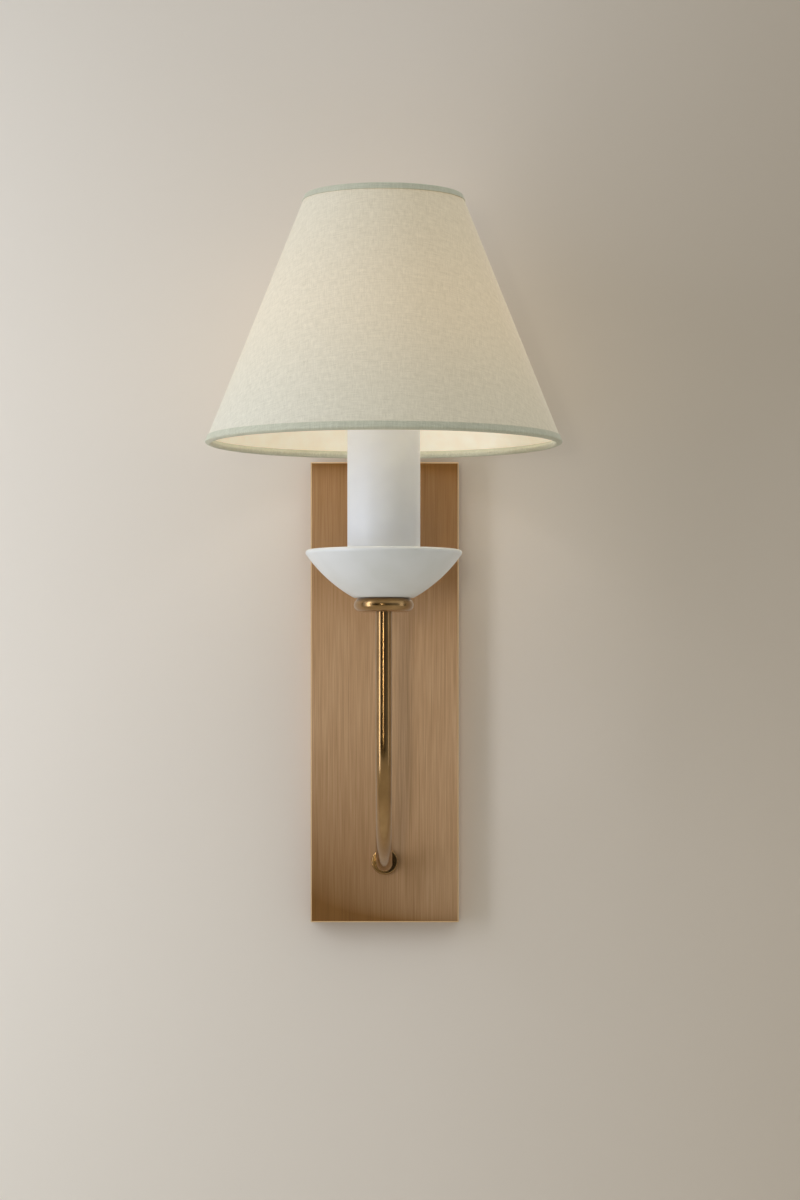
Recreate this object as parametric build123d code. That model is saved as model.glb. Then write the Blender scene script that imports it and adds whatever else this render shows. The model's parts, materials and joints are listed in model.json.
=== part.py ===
from build123d import *
import math
import os

# A wall light: a brushed brass backplate, a bent brass arm, a white cup with a white candle sleeve,
# and a cone of pale linen on a wire frame. Millimetres, +Z up. The wall is the plane y = 0 and the
# room lies towards -Y. The origin is on the wall at the middle of the backplate.

INCH = 25.4

# --- Driving sizes ------------------------------------------------------------------------------

# Backplate: a pan folded from sheet, open towards the wall.
plate_width = 4.75 * INCH
plate_height = 14.75 * INCH
plate_depth = 0.75 * INCH
plate_wall = 1.5
plate_bevel = 0.9

# Steel bracket that is screwed to the wall box and carries the pan by its top and bottom edges.
bracket_width = 50.0
bracket_sheet = 2.5
bracket_bend = 1.0
bracket_tab = 13.0
box_slot_spacing = 3.125 * INCH
box_slot_length = 14.5
box_slot_width = 5.0
wire_hole_diameter = 0.875 * INCH
plate_screw_diameter = 3.0
plate_screw_length = 9.0
plate_screw_slot = 0.7
ground_screw_diameter = 4.0
ground_screw_head = 7.0
ground_screw_head_height = 2.6
ground_screw_above_foot = 37.6

# Arm: one tube, out of the plate near its foot and up into the ring under the cup.
stem_out = 6.0 * INCH
foot_above_plate_end = 49.725
arm_diameter = 0.5 * INCH
arm_wall = 1.2
arm_bend_radius = 4.0 * INCH
collar_diameter = 0.85 * INCH
collar_height = 2.4
collar_round = 1.1

# Threaded pipe of the two joints in the arm, with its nuts and washers.
pipe_bore = 7.0
pipe_engagement = 18.0
foot_washer_diameter = 32.0
foot_washer_sheet = 2.0
lock_washer_diameter = 17.0
lock_washer_sheet = 0.8
nut_across_flats = 0.625 * INCH
foot_nut_height = 3.4
pipe_past_nut = 1.8

# Ring and cup on top of the arm.
ring_below_plate_end = 126.025
ring_height = 11.1
ring_diameter = 46.4
ring_socket_depth = 3.0
cup_diameter = plate_width
cup_height = 36.9
cup_base_diameter = 43.0
cup_wall = 1.6
cup_lip_radius = 2.3
bowl_radius = 112.0
cup_spacer_diameter = 32.0
cup_nut_height = 5.0

# Candle sleeve and the discs that centre it.
sleeve_diameter = 56.2
sleeve_wall = 1.6
sleeve_above_plate_end = 53.675
sleeve_disc_sheet = 2.5
sleeve_cap_sheet = 1.5
sleeve_cap_skirt = 5.0

# Lampholder for a medium screw lamp.
socket_diameter = 39.6
socket_height = 43.0
socket_above_cap = 25.0
socket_shell_diameter = 28.5
socket_shell_sheet = 0.7
socket_floor_thickness = 6.0
socket_wall_below = 3.0
socket_base_thickness = 6.0
socket_base_recess = 15.0
socket_hub_diameter = 17.0
socket_hub_height = 11.0
contact_head_diameter = 9.0
contact_head_height = 1.2
contact_stem_diameter = 5.0
contact_stem_length = 10.0
contact_travel = 3.63
leaf_width = 4.0
leaf_sheet = 0.4
leaf_span = 20.0
leaf_height = 4.0
terminal_screw_diameter = 3.5
terminal_head_diameter = 7.0
terminal_head_height = 2.0
terminal_screw_length = 5.5
ring_nut_width = 4.0
ring_nut_height = 4.5

# Lamp.
bulb_diameter = 48.0
bulb_glass_wall = 0.8
bulb_length = 87.0
bulb_cap_diameter = 26.2
bulb_cap_length = 24.0
bulb_cap_sheet = 0.5
bulb_thread_depth = 0.7
bulb_threads = 5
bulb_thread_pitch = contact_travel
bulb_tip_diameter = 8.0
bulb_tip_height = 1.6
bulb_insulator_height = 4.5
bulb_neck_length = 7.0
bulb_stem_diameter = 7.0
bulb_stem_length = 34.0
filament_count = 4
filament_diameter = 1.6
filament_circle = 15.0
filament_length = 28.0
filament_wire_diameter = 0.8

# Shade: linen on a stiff lining, hung on two wire rings and a dropped fitter.
shade_bottom_radius = 137.3
shade_top_radius = 60.5
shade_above_plate_end = 4.675
shade_height = 190.4
fabric_thickness = 0.7
lining_thickness = 0.5
tape_thickness = 0.6
tape_width = 4.8
ring_wire_diameter = 2.4
hem_sides = 12
spider_wire_diameter = 2.5
spider_arm_count = 3
spider_shoulder = 11.0
spider_shoulder_drop = 3.0
spider_foot_rise = 8.0
spider_bend_radius = 6.0
fitter_width = 7.6
fitter_sheet = 1.5

# Leads inside the arm and the pan.
lead_diameter = 2.2
lead_spacing = 2.6
lead_bend_radius = 4.4
lead_fan_rise = 20.0
lead_fan_height = 25.0
ground_lead_diameter = 1.6
connector_diameter = 10.0
connector_length = 18.0
connector_mouth_depth = 6.0
connector_spacing = 14.0
connector_above_foot = 61.6

# Clearances.
thread_clearance = 0.05
hole_clearance = 0.2
slip_clearance = 0.15
turning_clearance = 0.3
tab_clearance = 0.3
hem_clearance = 0.3

# --- Places that follow from the sizes ----------------------------------------------------------

plate_end = plate_height / 2
foot_height = foot_above_plate_end - plate_end
plate_inside = plate_depth - plate_wall
plate_screw_head_height = 0.8 * plate_wall
arm_radius = arm_diameter / 2
arm_bore_radius = arm_radius - arm_wall
pipe_radius = arm_bore_radius - thread_clearance
pipe_hole_radius = pipe_radius + hole_clearance
ground_screw_height = foot_height + ground_screw_above_foot
connector_mouth = foot_height + connector_above_foot

ring_bottom = plate_end - ring_below_plate_end
ring_top = ring_bottom + ring_height
cup_floor = ring_top + cup_wall
cup_rim = ring_top + cup_height
sleeve_radius = sleeve_diameter / 2
sleeve_bore_radius = sleeve_radius - sleeve_wall
sleeve_disc_radius = sleeve_bore_radius - slip_clearance

sleeve_top = plate_end + sleeve_above_plate_end
cap_top = sleeve_top + sleeve_cap_sheet
socket_radius = socket_diameter / 2
socket_rim = cap_top + socket_above_cap
socket_bottom = socket_rim - socket_height
socket_bore_radius = socket_shell_diameter / 2 + thread_clearance
base_top = socket_bottom
base_bottom = base_top - socket_base_thickness
pipe_top = base_bottom + socket_base_thickness / 2
socket_chamber_radius = socket_radius - socket_wall_below
leaf_top = base_top + leaf_height
contact_bottom = leaf_top + thread_clearance
contact_head_bottom = contact_bottom + contact_stem_length
contact_top = contact_head_bottom + contact_head_height
socket_floor_top = contact_head_bottom - turning_clearance
socket_floor_bottom = socket_floor_top - socket_floor_thickness
terminal_height = base_top + leaf_height + 0.5 * lead_diameter

lamp_tip = contact_top + thread_clearance
lamp_top = lamp_tip + bulb_length
bulb_radius = bulb_diameter / 2
bulb_centre = lamp_top - bulb_radius
bulb_cap_bottom = lamp_tip + bulb_tip_height + bulb_insulator_height
bulb_cap_top = bulb_cap_bottom + bulb_cap_length - bulb_insulator_height
bulb_neck_radius = bulb_cap_diameter / 2 - bulb_thread_depth - bulb_cap_sheet - slip_clearance

fitter_bottom = cap_top + turning_clearance
fitter_top = fitter_bottom + fitter_sheet
fitter_bore_radius = socket_radius + turning_clearance
ring_nut_bottom = fitter_top + turning_clearance
shade_bottom = plate_end + shade_above_plate_end
shade_slant = math.hypot(shade_bottom_radius - shade_top_radius, shade_height)
shade_lean = (shade_bottom_radius - shade_top_radius) / shade_slant
shade_rise = shade_height / shade_slant
skin_thickness = fabric_thickness + lining_thickness
ring_wire_radius = ring_wire_diameter / 2
hem_half = ring_wire_radius + hem_clearance


# --- Helpers ------------------------------------------------------------------------------------

def outline(*points):
    """A closed face through points of radius and height."""
    return make_face(Polyline(*points, close=True))


def spun(face):
    """A face of radius and height turned round the stem's axis."""
    return Pos(0, -stem_out, 0) * revolve(Plane.XZ * face, Axis.Z)


def sleeve_of(outer_radius, inner_radius, low, high):
    """A plain round wall about the stem's axis."""
    return spun(outline(
        (inner_radius, low), (outer_radius, low), (outer_radius, high), (inner_radius, high)))


def hexagon(across_flats, bore_radius, height):
    """A hexagonal nut that stands on its own origin."""
    flat = RegularPolygon(across_flats / 2, 6, major_radius=False) - Circle(bore_radius)
    return extrude(flat, height)


def washer(outer_radius, bore_radius, height):
    """A round washer that stands on its own origin."""
    return extrude(Circle(outer_radius) - Circle(bore_radius), height)


def post(radius, height):
    """A round post that stands on its own origin."""
    return extrude(Circle(radius), height)


def at_foot(piece, out):
    """A piece that stands on its origin, laid along the arm's foot at a distance out from the wall."""
    return Pos(0, -out, foot_height) * Rot(90, 0, 0) * piece


def on_stem(piece, height):
    """A piece that stands on its origin, set on the stem's axis at a height."""
    return Pos(0, -stem_out, height) * piece


def wire(points, bend_radii, radius):
    """A round wire along straight runs joined by tangent arcs, and the length of its line."""
    path = FilletPolyline(*points, radius=bend_radii)
    section = Plane(path @ 0, z_dir=path % 0) * Circle(radius)
    return sweep(section, path=path), path.length


def on_shade(up, out):
    """The radius and height of a point that far up the cone's slant and that far out of its face."""
    radius = shade_bottom_radius - up * shade_lean + out * shade_rise
    height = shade_bottom + up * shade_rise + out * shade_lean
    return radius, height


# --- Wall side ----------------------------------------------------------------------------------

def mounting_bracket():
    """Steel strap, its ends bent forward as tabs, with slots for the box screws and a wire hole."""
    length = plate_height - 2 * (plate_wall + tab_clearance)
    outer = Pos(-bracket_tab / 2, 0) * Rectangle(bracket_tab, length)
    outer = fillet(outer.vertices().group_by(Axis.X)[-1], bracket_bend + bracket_sheet)
    inner_depth = bracket_tab - bracket_sheet
    inner = Pos(-bracket_sheet - inner_depth / 2, 0) * Rectangle(inner_depth, length - 2 * bracket_sheet)
    inner = fillet(inner.vertices().group_by(Axis.X)[-1], bracket_bend)
    strap = extrude(Plane.YZ * (outer - inner), bracket_width / 2, both=True)
    cut_depth = 2 * bracket_sheet
    slot = Rot(0, 0, 90) * SlotOverall(box_slot_length, box_slot_width)
    for side in (-1, 1):
        strap -= extrude(Plane.XZ * Pos(0, side * box_slot_spacing / 2) * slot, cut_depth, both=True)
    strap -= extrude(Plane.XZ * Circle(wire_hole_diameter / 2), cut_depth, both=True)
    ground_hole = Pos(0, ground_screw_height) * Circle(ground_screw_diameter / 2 + thread_clearance)
    strap -= extrude(Plane.XZ * ground_hole, cut_depth, both=True)
    tab_hole = Cylinder(plate_screw_diameter / 2 + thread_clearance, plate_height)
    return strap - Pos(0, -bracket_tab / 2, 0) * tab_hole


def backplate():
    """Folded pan with a bevelled front edge, a hole for the arm's pipe and two countersunk holes."""
    pan = Pos(0, -plate_depth / 2, 0) * Box(plate_width, plate_depth, plate_height)
    front = pan.faces().sort_by(Axis.Y)[0]
    pan = chamfer(front.edges(), plate_bevel)
    hollow = Box(plate_width - 2 * plate_wall, 2 * plate_inside, plate_height - 2 * plate_wall)
    pan -= hollow
    pan -= at_foot(Cylinder(pipe_hole_radius, 3 * plate_wall), plate_depth)
    screw_hole = Cylinder(plate_screw_diameter / 2 + hole_clearance, 2 * plate_height)
    countersink = plate_screw_head(thread_clearance)
    return pan - Pos(0, -bracket_tab / 2, 0) * screw_hole - countersink - mirror(countersink, Plane.XY)


def plate_screw_head(clearance):
    """Flat head of the upper plate screw, level with the pan's top edge, grown by a clearance."""
    low = plate_screw_diameter / 2 + clearance
    high = low + plate_screw_head_height
    cone = Cone(low, high, plate_screw_head_height, align=(Align.CENTER, Align.CENTER, Align.MAX))
    return Pos(0, -bracket_tab / 2, plate_end) * cone


def plate_screws():
    """Two small screws, flush with the pan's top and bottom edges, that hold it to the bracket's tabs."""
    place = Pos(0, -bracket_tab / 2, plate_end)
    shank = place * Pos(0, 0, -plate_screw_length / 2)
    shank *= Cylinder(plate_screw_diameter / 2, plate_screw_length)
    slot = place * Box(plate_width, plate_screw_slot, plate_screw_head_height)
    top = shank + plate_screw_head(0) - slot
    return Compound(children=[top, mirror(top, Plane.XY)])


def ground_screw():
    """Hexagonal green screw in the bracket, its head a wire's width off the strap."""
    shank = post(ground_screw_diameter / 2, bracket_sheet + ground_lead_diameter)
    head = extrude(RegularPolygon(ground_screw_head / 2, 6, major_radius=False), ground_screw_head_height)
    screw = shank + Pos(0, 0, bracket_sheet + ground_lead_diameter) * head
    return Pos(0, 0, ground_screw_height) * Rot(90, 0, 0) * screw


# --- Arm ----------------------------------------------------------------------------------------

def arm_tube():
    """Tube from the plate's face, out, round one bend and up into the ring."""
    start = (0, -plate_depth, foot_height)
    corner = (0, -stem_out, foot_height)
    end = (0, -stem_out, ring_bottom + ring_socket_depth)
    path = FilletPolyline(start, corner, end, radius=arm_bend_radius)
    section = Circle(arm_radius) - Circle(arm_bore_radius)
    return sweep(Plane(path @ 0, z_dir=path % 0) * section, path=path)


def arm_collar():
    """Low ring round the arm's foot, its front edge rounded over."""
    ring = washer(collar_diameter / 2, arm_radius + thread_clearance, collar_height)
    rim = ring.edges().filter_by(GeomType.CIRCLE).group_by(Axis.Z)[-1].sort_by(SortBy.RADIUS)[-1]
    return at_foot(fillet(rim, collar_round), plate_depth)


def foot_hardware():
    """Pipe, washers and nut that clamp the arm's foot to the plate, from the plate inwards."""
    washer_back = plate_inside - foot_washer_sheet
    lock_back = washer_back - lock_washer_sheet
    nut_back = lock_back - foot_nut_height
    pipe_end = nut_back - pipe_past_nut
    pipe_length = plate_depth + pipe_engagement - pipe_end
    nipple = at_foot(washer(pipe_radius, pipe_bore / 2, pipe_length), pipe_end)
    plate_washer = at_foot(washer(foot_washer_diameter / 2, pipe_hole_radius, foot_washer_sheet), washer_back)
    lock_washer = at_foot(washer(lock_washer_diameter / 2, pipe_hole_radius, lock_washer_sheet), lock_back)
    nut_bore = pipe_radius + thread_clearance
    nut = at_foot(hexagon(nut_across_flats, nut_bore, foot_nut_height), nut_back)
    return nipple, plate_washer, lock_washer, nut, pipe_end


# --- Ring and cup -------------------------------------------------------------------------------

def cup_seat_ring():
    """Turned ring with a fully rounded edge, bored for the pipe and recessed for the arm's end."""
    round_radius = ring_height / 2
    middle = ring_bottom + round_radius
    bore = pipe_radius + slip_clearance
    edge_start = ring_diameter / 2 - round_radius
    edge = ThreePointArc((edge_start, ring_bottom), (ring_diameter / 2, middle), (edge_start, ring_top))
    flats = Polyline((edge_start, ring_top), (bore, ring_top), (bore, ring_bottom), (edge_start, ring_bottom))
    ring = spun(make_face(edge + flats))
    return ring - on_stem(post(arm_radius + thread_clearance, ring_socket_depth), ring_bottom)


def lip_centre():
    """Centre, as radius and height, of the cup's round lip."""
    return Vector(cup_diameter / 2 - cup_lip_radius, cup_rim - cup_lip_radius)


def bowl_centre():
    """Centre of the arc that the middle of the cup's wall follows, so that the lip is flush outside."""
    low = Vector(cup_base_diameter / 2, ring_top)
    chord = lip_centre() - low
    to_lip = bowl_radius + cup_wall / 2 - cup_lip_radius
    along = (bowl_radius ** 2 - to_lip ** 2 + chord.length ** 2) / (2 * chord.length)
    inward = Vector(-chord.Y, chord.X).normalized()
    return low + chord.normalized() * along + inward * math.sqrt(bowl_radius ** 2 - along ** 2)


def bowl_height(radius, wall_offset):
    """Height of the bowl at a radius, on the arc that lies that far outside the wall's middle."""
    centre = bowl_centre()
    return centre.Y - math.sqrt((bowl_radius + wall_offset) ** 2 - (radius - centre.X) ** 2)


def bowl_reach(height, wall_offset):
    """Radius of the bowl at a height, on the arc that lies that far outside the wall's middle."""
    centre = bowl_centre()
    return centre.X + math.sqrt((bowl_radius + wall_offset) ** 2 - (centre.Y - height) ** 2)


def cup():
    """Spun bowl: flat foot with a pipe hole, a wall on one arc, and a round lip rolled inwards."""
    half_wall = cup_wall / 2
    centre = bowl_centre()
    lip = lip_centre()
    outward = (lip - centre).normalized()
    to_lip = (lip - centre).length
    inner_radius = bowl_radius - half_wall
    crossing = math.acos(
        (to_lip ** 2 + inner_radius ** 2 - cup_lip_radius ** 2) / (2 * to_lip * inner_radius))
    outer_low = Vector(bowl_reach(ring_top, half_wall), ring_top)
    inner_low = Vector(bowl_reach(cup_floor, -half_wall), cup_floor)
    outer_high = centre + outward * (bowl_radius + half_wall)
    inner_high = centre + outward.rotate(Axis.Z, -math.degrees(crossing)) * inner_radius
    middle_radius = (outer_low.X + outer_high.X) / 2
    outer = ThreePointArc(outer_low, (middle_radius, bowl_height(middle_radius, half_wall)), outer_high)
    bead = ThreePointArc(outer_high, lip + Vector(0, cup_lip_radius), inner_high)
    inner = ThreePointArc(inner_high, (middle_radius, bowl_height(middle_radius, -half_wall)), inner_low)
    foot = Polyline(inner_low, (pipe_hole_radius, cup_floor), (pipe_hole_radius, ring_top), outer_low)
    return spun(make_face(outer + bead + inner + foot))


def cup_clamp():
    """Spacer, sleeve disc and nut that press the cup on its ring, from the cup's floor upwards."""
    disc_bottom = bowl_height(sleeve_disc_radius, -cup_wall / 2) + turning_clearance
    disc_top = disc_bottom + sleeve_disc_sheet
    spacer = on_stem(washer(cup_spacer_diameter / 2, pipe_hole_radius, disc_bottom - cup_floor), cup_floor)
    disc = on_stem(washer(sleeve_disc_radius, pipe_hole_radius, sleeve_disc_sheet), disc_bottom)
    nut = on_stem(hexagon(nut_across_flats, pipe_radius + thread_clearance, cup_nut_height), disc_top)
    return spacer, disc, nut


def riser_pipe():
    """Threaded pipe from the arm's end, through ring and cup, to the lampholder."""
    return sleeve_of(pipe_radius, pipe_bore / 2, ring_bottom - pipe_engagement, pipe_top)


# --- Candle sleeve and lampholder ---------------------------------------------------------------

def candle_sleeve():
    """White tube that stands on the bowl's wall, round the disc."""
    low = bowl_height(sleeve_radius, -cup_wall / 2) + thread_clearance
    return sleeve_of(sleeve_radius, sleeve_bore_radius, low, sleeve_top)


def sleeve_cap():
    """Lid of the sleeve: a flat disc with a short skirt inside the tube and a hole for the lampholder."""
    hole = socket_radius + hole_clearance
    skirt_outer = sleeve_disc_radius
    skirt_inner = skirt_outer - sleeve_cap_sheet
    skirt_low = sleeve_top - sleeve_cap_skirt
    return spun(outline(
        (hole, sleeve_top), (skirt_inner, sleeve_top), (skirt_inner, skirt_low), (skirt_outer, skirt_low),
        (skirt_outer, sleeve_top), (sleeve_radius, sleeve_top), (sleeve_radius, cap_top), (hole, cap_top)))


def socket_base():
    """Foot of the lampholder: a disc with a threaded hub below and a shallow well above."""
    thread = pipe_radius + thread_clearance
    hub = socket_hub_diameter / 2
    well = socket_base_recess / 2
    well_bottom = pipe_top + hole_clearance
    hub_bottom = base_bottom - socket_hub_height
    return spun(outline(
        (thread, hub_bottom), (hub, hub_bottom), (hub, base_bottom), (socket_radius, base_bottom),
        (socket_radius, base_top), (well, base_top), (well, well_bottom), (thread, well_bottom)))


def socket_body():
    """Moulded barrel with the terminal chamber below its floor and the shell's bore above it."""
    stem_hole = contact_stem_diameter / 2 + thread_clearance
    barrel = spun(outline(
        (socket_chamber_radius, socket_bottom), (socket_radius, socket_bottom), (socket_radius, socket_rim),
        (socket_bore_radius, socket_rim), (socket_bore_radius, socket_floor_top),
        (stem_hole, socket_floor_top), (stem_hole, socket_floor_bottom),
        (socket_chamber_radius, socket_floor_bottom)))
    cross_hole = Rot(0, 90, 0) * Cylinder(terminal_screw_diameter / 2 + thread_clearance, 2 * socket_diameter)
    return barrel - on_stem(cross_hole, terminal_height)


def socket_shell():
    """Brass shell that takes the lamp's cap."""
    outer = socket_shell_diameter / 2
    return sleeve_of(outer, outer - socket_shell_sheet, socket_floor_top, socket_rim)


def centre_contact():
    """Brass contact with a flat head under the lamp's tip and a stem through the floor."""
    head = contact_head_diameter / 2
    stem = contact_stem_diameter / 2
    return spun(outline(
        (0, contact_bottom), (stem, contact_bottom), (stem, contact_head_bottom),
        (head, contact_head_bottom), (head, contact_top), (0, contact_top)))


def contact_leaf():
    """Bowed strip with two flat feet that lifts the centre contact."""
    foot = 2.5 * leaf_sheet
    half = leaf_span / 2
    foot_top = base_top + leaf_sheet
    crown = ThreePointArc((foot - half, foot_top), (0, leaf_top), (half - foot, foot_top))
    right = Polyline((half - foot, foot_top), (half, foot_top), (half, base_top), (half - 2 * foot, base_top))
    under = ThreePointArc(right @ 1, (0, leaf_top - leaf_sheet), (2 * foot - half, base_top))
    left = Polyline(under @ 1, (-half, base_top), (-half, foot_top), (foot - half, foot_top))
    strip = make_face(crown + right + under + left)
    return Pos(0, -stem_out, 0) * extrude(Plane.YZ * strip, leaf_width / 2, both=True)


def terminal_screws():
    """Two screws through the barrel's wall, one for each lead."""
    shank = Pos(0, 0, -terminal_screw_length / 2)
    shank *= Cylinder(terminal_screw_diameter / 2, terminal_screw_length)
    head = Pos(0, 0, terminal_head_height / 2) * Cylinder(terminal_head_diameter / 2, terminal_head_height)
    head = fillet(head.edges().group_by(Axis.Z)[-1], terminal_head_height / 3)
    seat = Pos(socket_radius + thread_clearance, 0, 0) * Rot(0, 90, 0)
    right = on_stem(seat * (shank + head), terminal_height)
    return Compound(children=[right, mirror(right, Plane.YZ)])


def shade_ring_nut():
    """Ring nut on the lampholder's collar, over the shade's fitter."""
    bore = socket_radius + thread_clearance
    outer = bore + ring_nut_width
    return sleeve_of(outer, bore, ring_nut_bottom, ring_nut_bottom + ring_nut_height)


# --- Lamp ---------------------------------------------------------------------------------------

def bulb_outline(inset, bottom):
    """Face inside the lamp's glass line, drawn in by an inset and cut off at a height."""
    neck = bulb_neck_radius - inset
    ball = bulb_radius - inset
    neck_top = bulb_cap_top + bulb_neck_length
    reach = math.hypot(neck, bulb_centre - neck_top)
    touch = math.atan2(neck_top - bulb_centre, neck) + math.acos(ball / reach)
    touch_point = (ball * math.cos(touch), bulb_centre + ball * math.sin(touch))
    half_way = (touch + math.pi / 2) / 2
    middle = (ball * math.cos(half_way), bulb_centre + ball * math.sin(half_way))
    side = Polyline((0, bulb_centre + ball), (0, bottom), (neck, bottom), (neck, neck_top), touch_point)
    return make_face(side + ThreePointArc(touch_point, middle, (0, bulb_centre + ball)))


def bulb_glass():
    """Envelope: a ball that runs down a cone into the neck in the cap."""
    bottom = bulb_cap_bottom + bulb_cap_sheet
    shell = bulb_outline(0, bottom) - bulb_outline(bulb_glass_wall, bottom - bulb_glass_wall)
    return spun(shell)


def bulb_cap():
    """Screw cap, its thread drawn as rings, with the rolled-in foot that holds the insulator."""
    crest = bulb_cap_diameter / 2
    root = crest - bulb_thread_depth
    inner = root - bulb_cap_sheet
    foot = bulb_tip_diameter
    points = [(foot, bulb_cap_bottom), (root, bulb_cap_bottom)]
    first = bulb_cap_bottom + (bulb_cap_top - bulb_cap_bottom - bulb_threads * bulb_thread_pitch) / 2
    for turn in range(bulb_threads):
        low = first + turn * bulb_thread_pitch
        points += [(root, low), (crest, low + bulb_thread_pitch / 2)]
    points += [(root, first + bulb_threads * bulb_thread_pitch), (root, bulb_cap_top), (inner, bulb_cap_top)]
    points += [(inner, bulb_cap_bottom + bulb_cap_sheet), (foot, bulb_cap_bottom + bulb_cap_sheet)]
    return spun(outline(*points))


def bulb_insulator():
    """Black glass cone between the cap and the tip."""
    low = lamp_tip + bulb_tip_height
    top_radius = bulb_cap_diameter / 2 - bulb_thread_depth - bulb_cap_sheet
    plug = bulb_tip_diameter - slip_clearance
    plug_top = bulb_cap_bottom + bulb_cap_sheet
    return spun(outline(
        (0, low), (bulb_tip_diameter / 2, low), (top_radius, bulb_cap_bottom), (plug, bulb_cap_bottom),
        (plug, plug_top), (0, plug_top)))


def bulb_tip():
    """Solder button that meets the centre contact."""
    return on_stem(post(bulb_tip_diameter / 2, bulb_tip_height), lamp_tip)


def bulb_stem():
    """Glass post inside the lamp, on the insulator."""
    return on_stem(post(bulb_stem_diameter / 2, bulb_stem_length), bulb_cap_bottom + bulb_cap_sheet)


def filament_wires():
    """Thin mast on the post with a star of wires below and above the filaments."""
    low = bulb_cap_bottom + bulb_cap_sheet + bulb_stem_length
    radius = filament_wire_diameter / 2
    mast_length = filament_length + 2 * filament_wire_diameter
    frame = post(radius, mast_length)
    reach = filament_circle / 2 + filament_diameter / 2
    bar = Pos(reach / 2, 0, radius) * Box(reach, filament_wire_diameter, filament_wire_diameter)
    for height in (0, filament_length + filament_wire_diameter):
        for number in range(filament_count):
            frame += Pos(0, 0, height) * Rot(0, 0, 360 * number / filament_count) * bar
    return on_stem(frame, low)


def filaments():
    """Upright light strips between the two stars of wires."""
    low = bulb_cap_bottom + bulb_cap_sheet + bulb_stem_length + filament_wire_diameter
    strip = post(filament_diameter / 2, filament_length)
    strips = []
    for number in range(filament_count):
        turn = Rot(0, 0, 360 * number / filament_count)
        strips.append(on_stem(turn * Pos(filament_circle / 2, 0, 0) * strip, low))
    return Compound(children=strips)


# --- Shade --------------------------------------------------------------------------------------

def skin(outer, inner):
    """A layer of the cone between two distances out of its face."""
    return spun(outline(
        on_shade(0, outer), on_shade(shade_slant, outer), on_shade(shade_slant, inner), on_shade(0, inner)))


def ring_wire_place(at_top):
    """Distance up the slant and out of the face of a wire ring's middle."""
    up = shade_slant - hem_half if at_top else hem_half
    return up, -skin_thickness - hem_half


def wire_ring(at_top):
    """Wire ring inside one end of the cone."""
    radius, height = on_shade(*ring_wire_place(at_top))
    return spun(Pos(radius, height) * Circle(ring_wire_radius))


def tape(at_top):
    """Self-fabric tape folded over one end of the cone and round the wire ring there."""
    end = shade_slant if at_top else 0
    into = -1 if at_top else 1

    def section(*points):
        return outline(*[on_shade(end + into * up, out) for up, out in points])

    inside = -skin_thickness
    middle = inside - hem_half

    def round_wire(half):
        reach = half / math.cos(math.pi / hem_sides)
        turns = [math.pi * (2 * number + 1) / hem_sides for number in range(hem_sides)]
        return section(*[
            (hem_half + reach * math.cos(turn), middle + reach * math.sin(turn)) for turn in turns])

    legs = section(
        (-tape_thickness, middle), (-tape_thickness, 0), (0, tape_thickness),
        (tape_width, tape_thickness), (tape_width, inside - tape_thickness),
        (hem_half, inside - tape_thickness), (hem_half, middle))
    skin_edge = section((0, 0), (2 * tape_width, 0), (2 * tape_width, inside), (0, inside))
    return spun(legs + round_wire(hem_half + tape_thickness) - skin_edge - round_wire(hem_half))


def fitter_ring():
    """Flat ring that drops over the lampholder's collar."""
    return sleeve_of(fitter_bore_radius + fitter_width, fitter_bore_radius, fitter_bottom, fitter_top)


def spider_arm_solids():
    """Bent wires from the top ring down to the fitter, before they are trimmed to either."""
    top_radius, top_height = on_shade(*ring_wire_place(True))
    foot_radius = fitter_bore_radius + fitter_width - spider_wire_diameter / 2
    points = [
        (top_radius, 0, top_height),
        (top_radius - spider_shoulder, 0, top_height - spider_shoulder_drop),
        (foot_radius, 0, fitter_top + spider_foot_rise),
        (foot_radius, 0, fitter_top),
    ]
    arm, _ = wire(points, spider_bend_radius, spider_wire_diameter / 2)
    turns = [Rot(0, 0, 90 + 360 * number / spider_arm_count) for number in range(spider_arm_count)]
    return [on_stem(turn * arm, 0) for turn in turns]


# --- Leads --------------------------------------------------------------------------------------

def pan_lead(side, pipe_end):
    """One insulated lead: terminal, pipe, arm, pan, connector. Side is -1 or 1."""
    x_pipe = side * lead_spacing / 2
    x_end = side * (socket_radius - terminal_screw_length - slip_clearance)
    run_out = pipe_end - lead_bend_radius
    fan_start = foot_height + lead_fan_rise
    connector_out = plate_inside / 2 + bracket_sheet / 2
    points = [
        (x_end, -stem_out, terminal_height),
        (0.6 * x_end, -stem_out, terminal_height),
        (x_pipe, -stem_out, pipe_top + lead_diameter),
        (x_pipe, -stem_out, foot_height),
        (x_pipe, -run_out, foot_height),
        (x_pipe, -run_out, fan_start),
        (side * connector_spacing, -connector_out, fan_start + lead_fan_height),
        (side * connector_spacing, -connector_out, connector_mouth + connector_mouth_depth),
    ]
    fan_bend = 2 * lead_bend_radius
    bends = [lead_bend_radius, lead_bend_radius, arm_bend_radius, lead_bend_radius, fan_bend, fan_bend]
    lead, length = wire(points, bends, lead_diameter / 2)
    print("lead bends", bends, "volume", round(lead.volume, 1),
          "section times length", round(math.pi * lead_diameter ** 2 / 4 * length, 1))
    return lead


def ground_lead():
    """Bare copper wire from the green screw up to its connector."""
    near = bracket_sheet + ground_lead_diameter / 2
    far = plate_inside / 2 + bracket_sheet / 2
    start = ground_screw_height + ground_screw_diameter / 2
    run = connector_mouth_depth
    points = [(0, -near, start), (0, -near, start + run), (0, -far, connector_mouth - run),
              (0, -far, connector_mouth + run)]
    lead, _ = wire(points, 2 * ground_lead_diameter, ground_lead_diameter / 2)
    return lead


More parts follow.
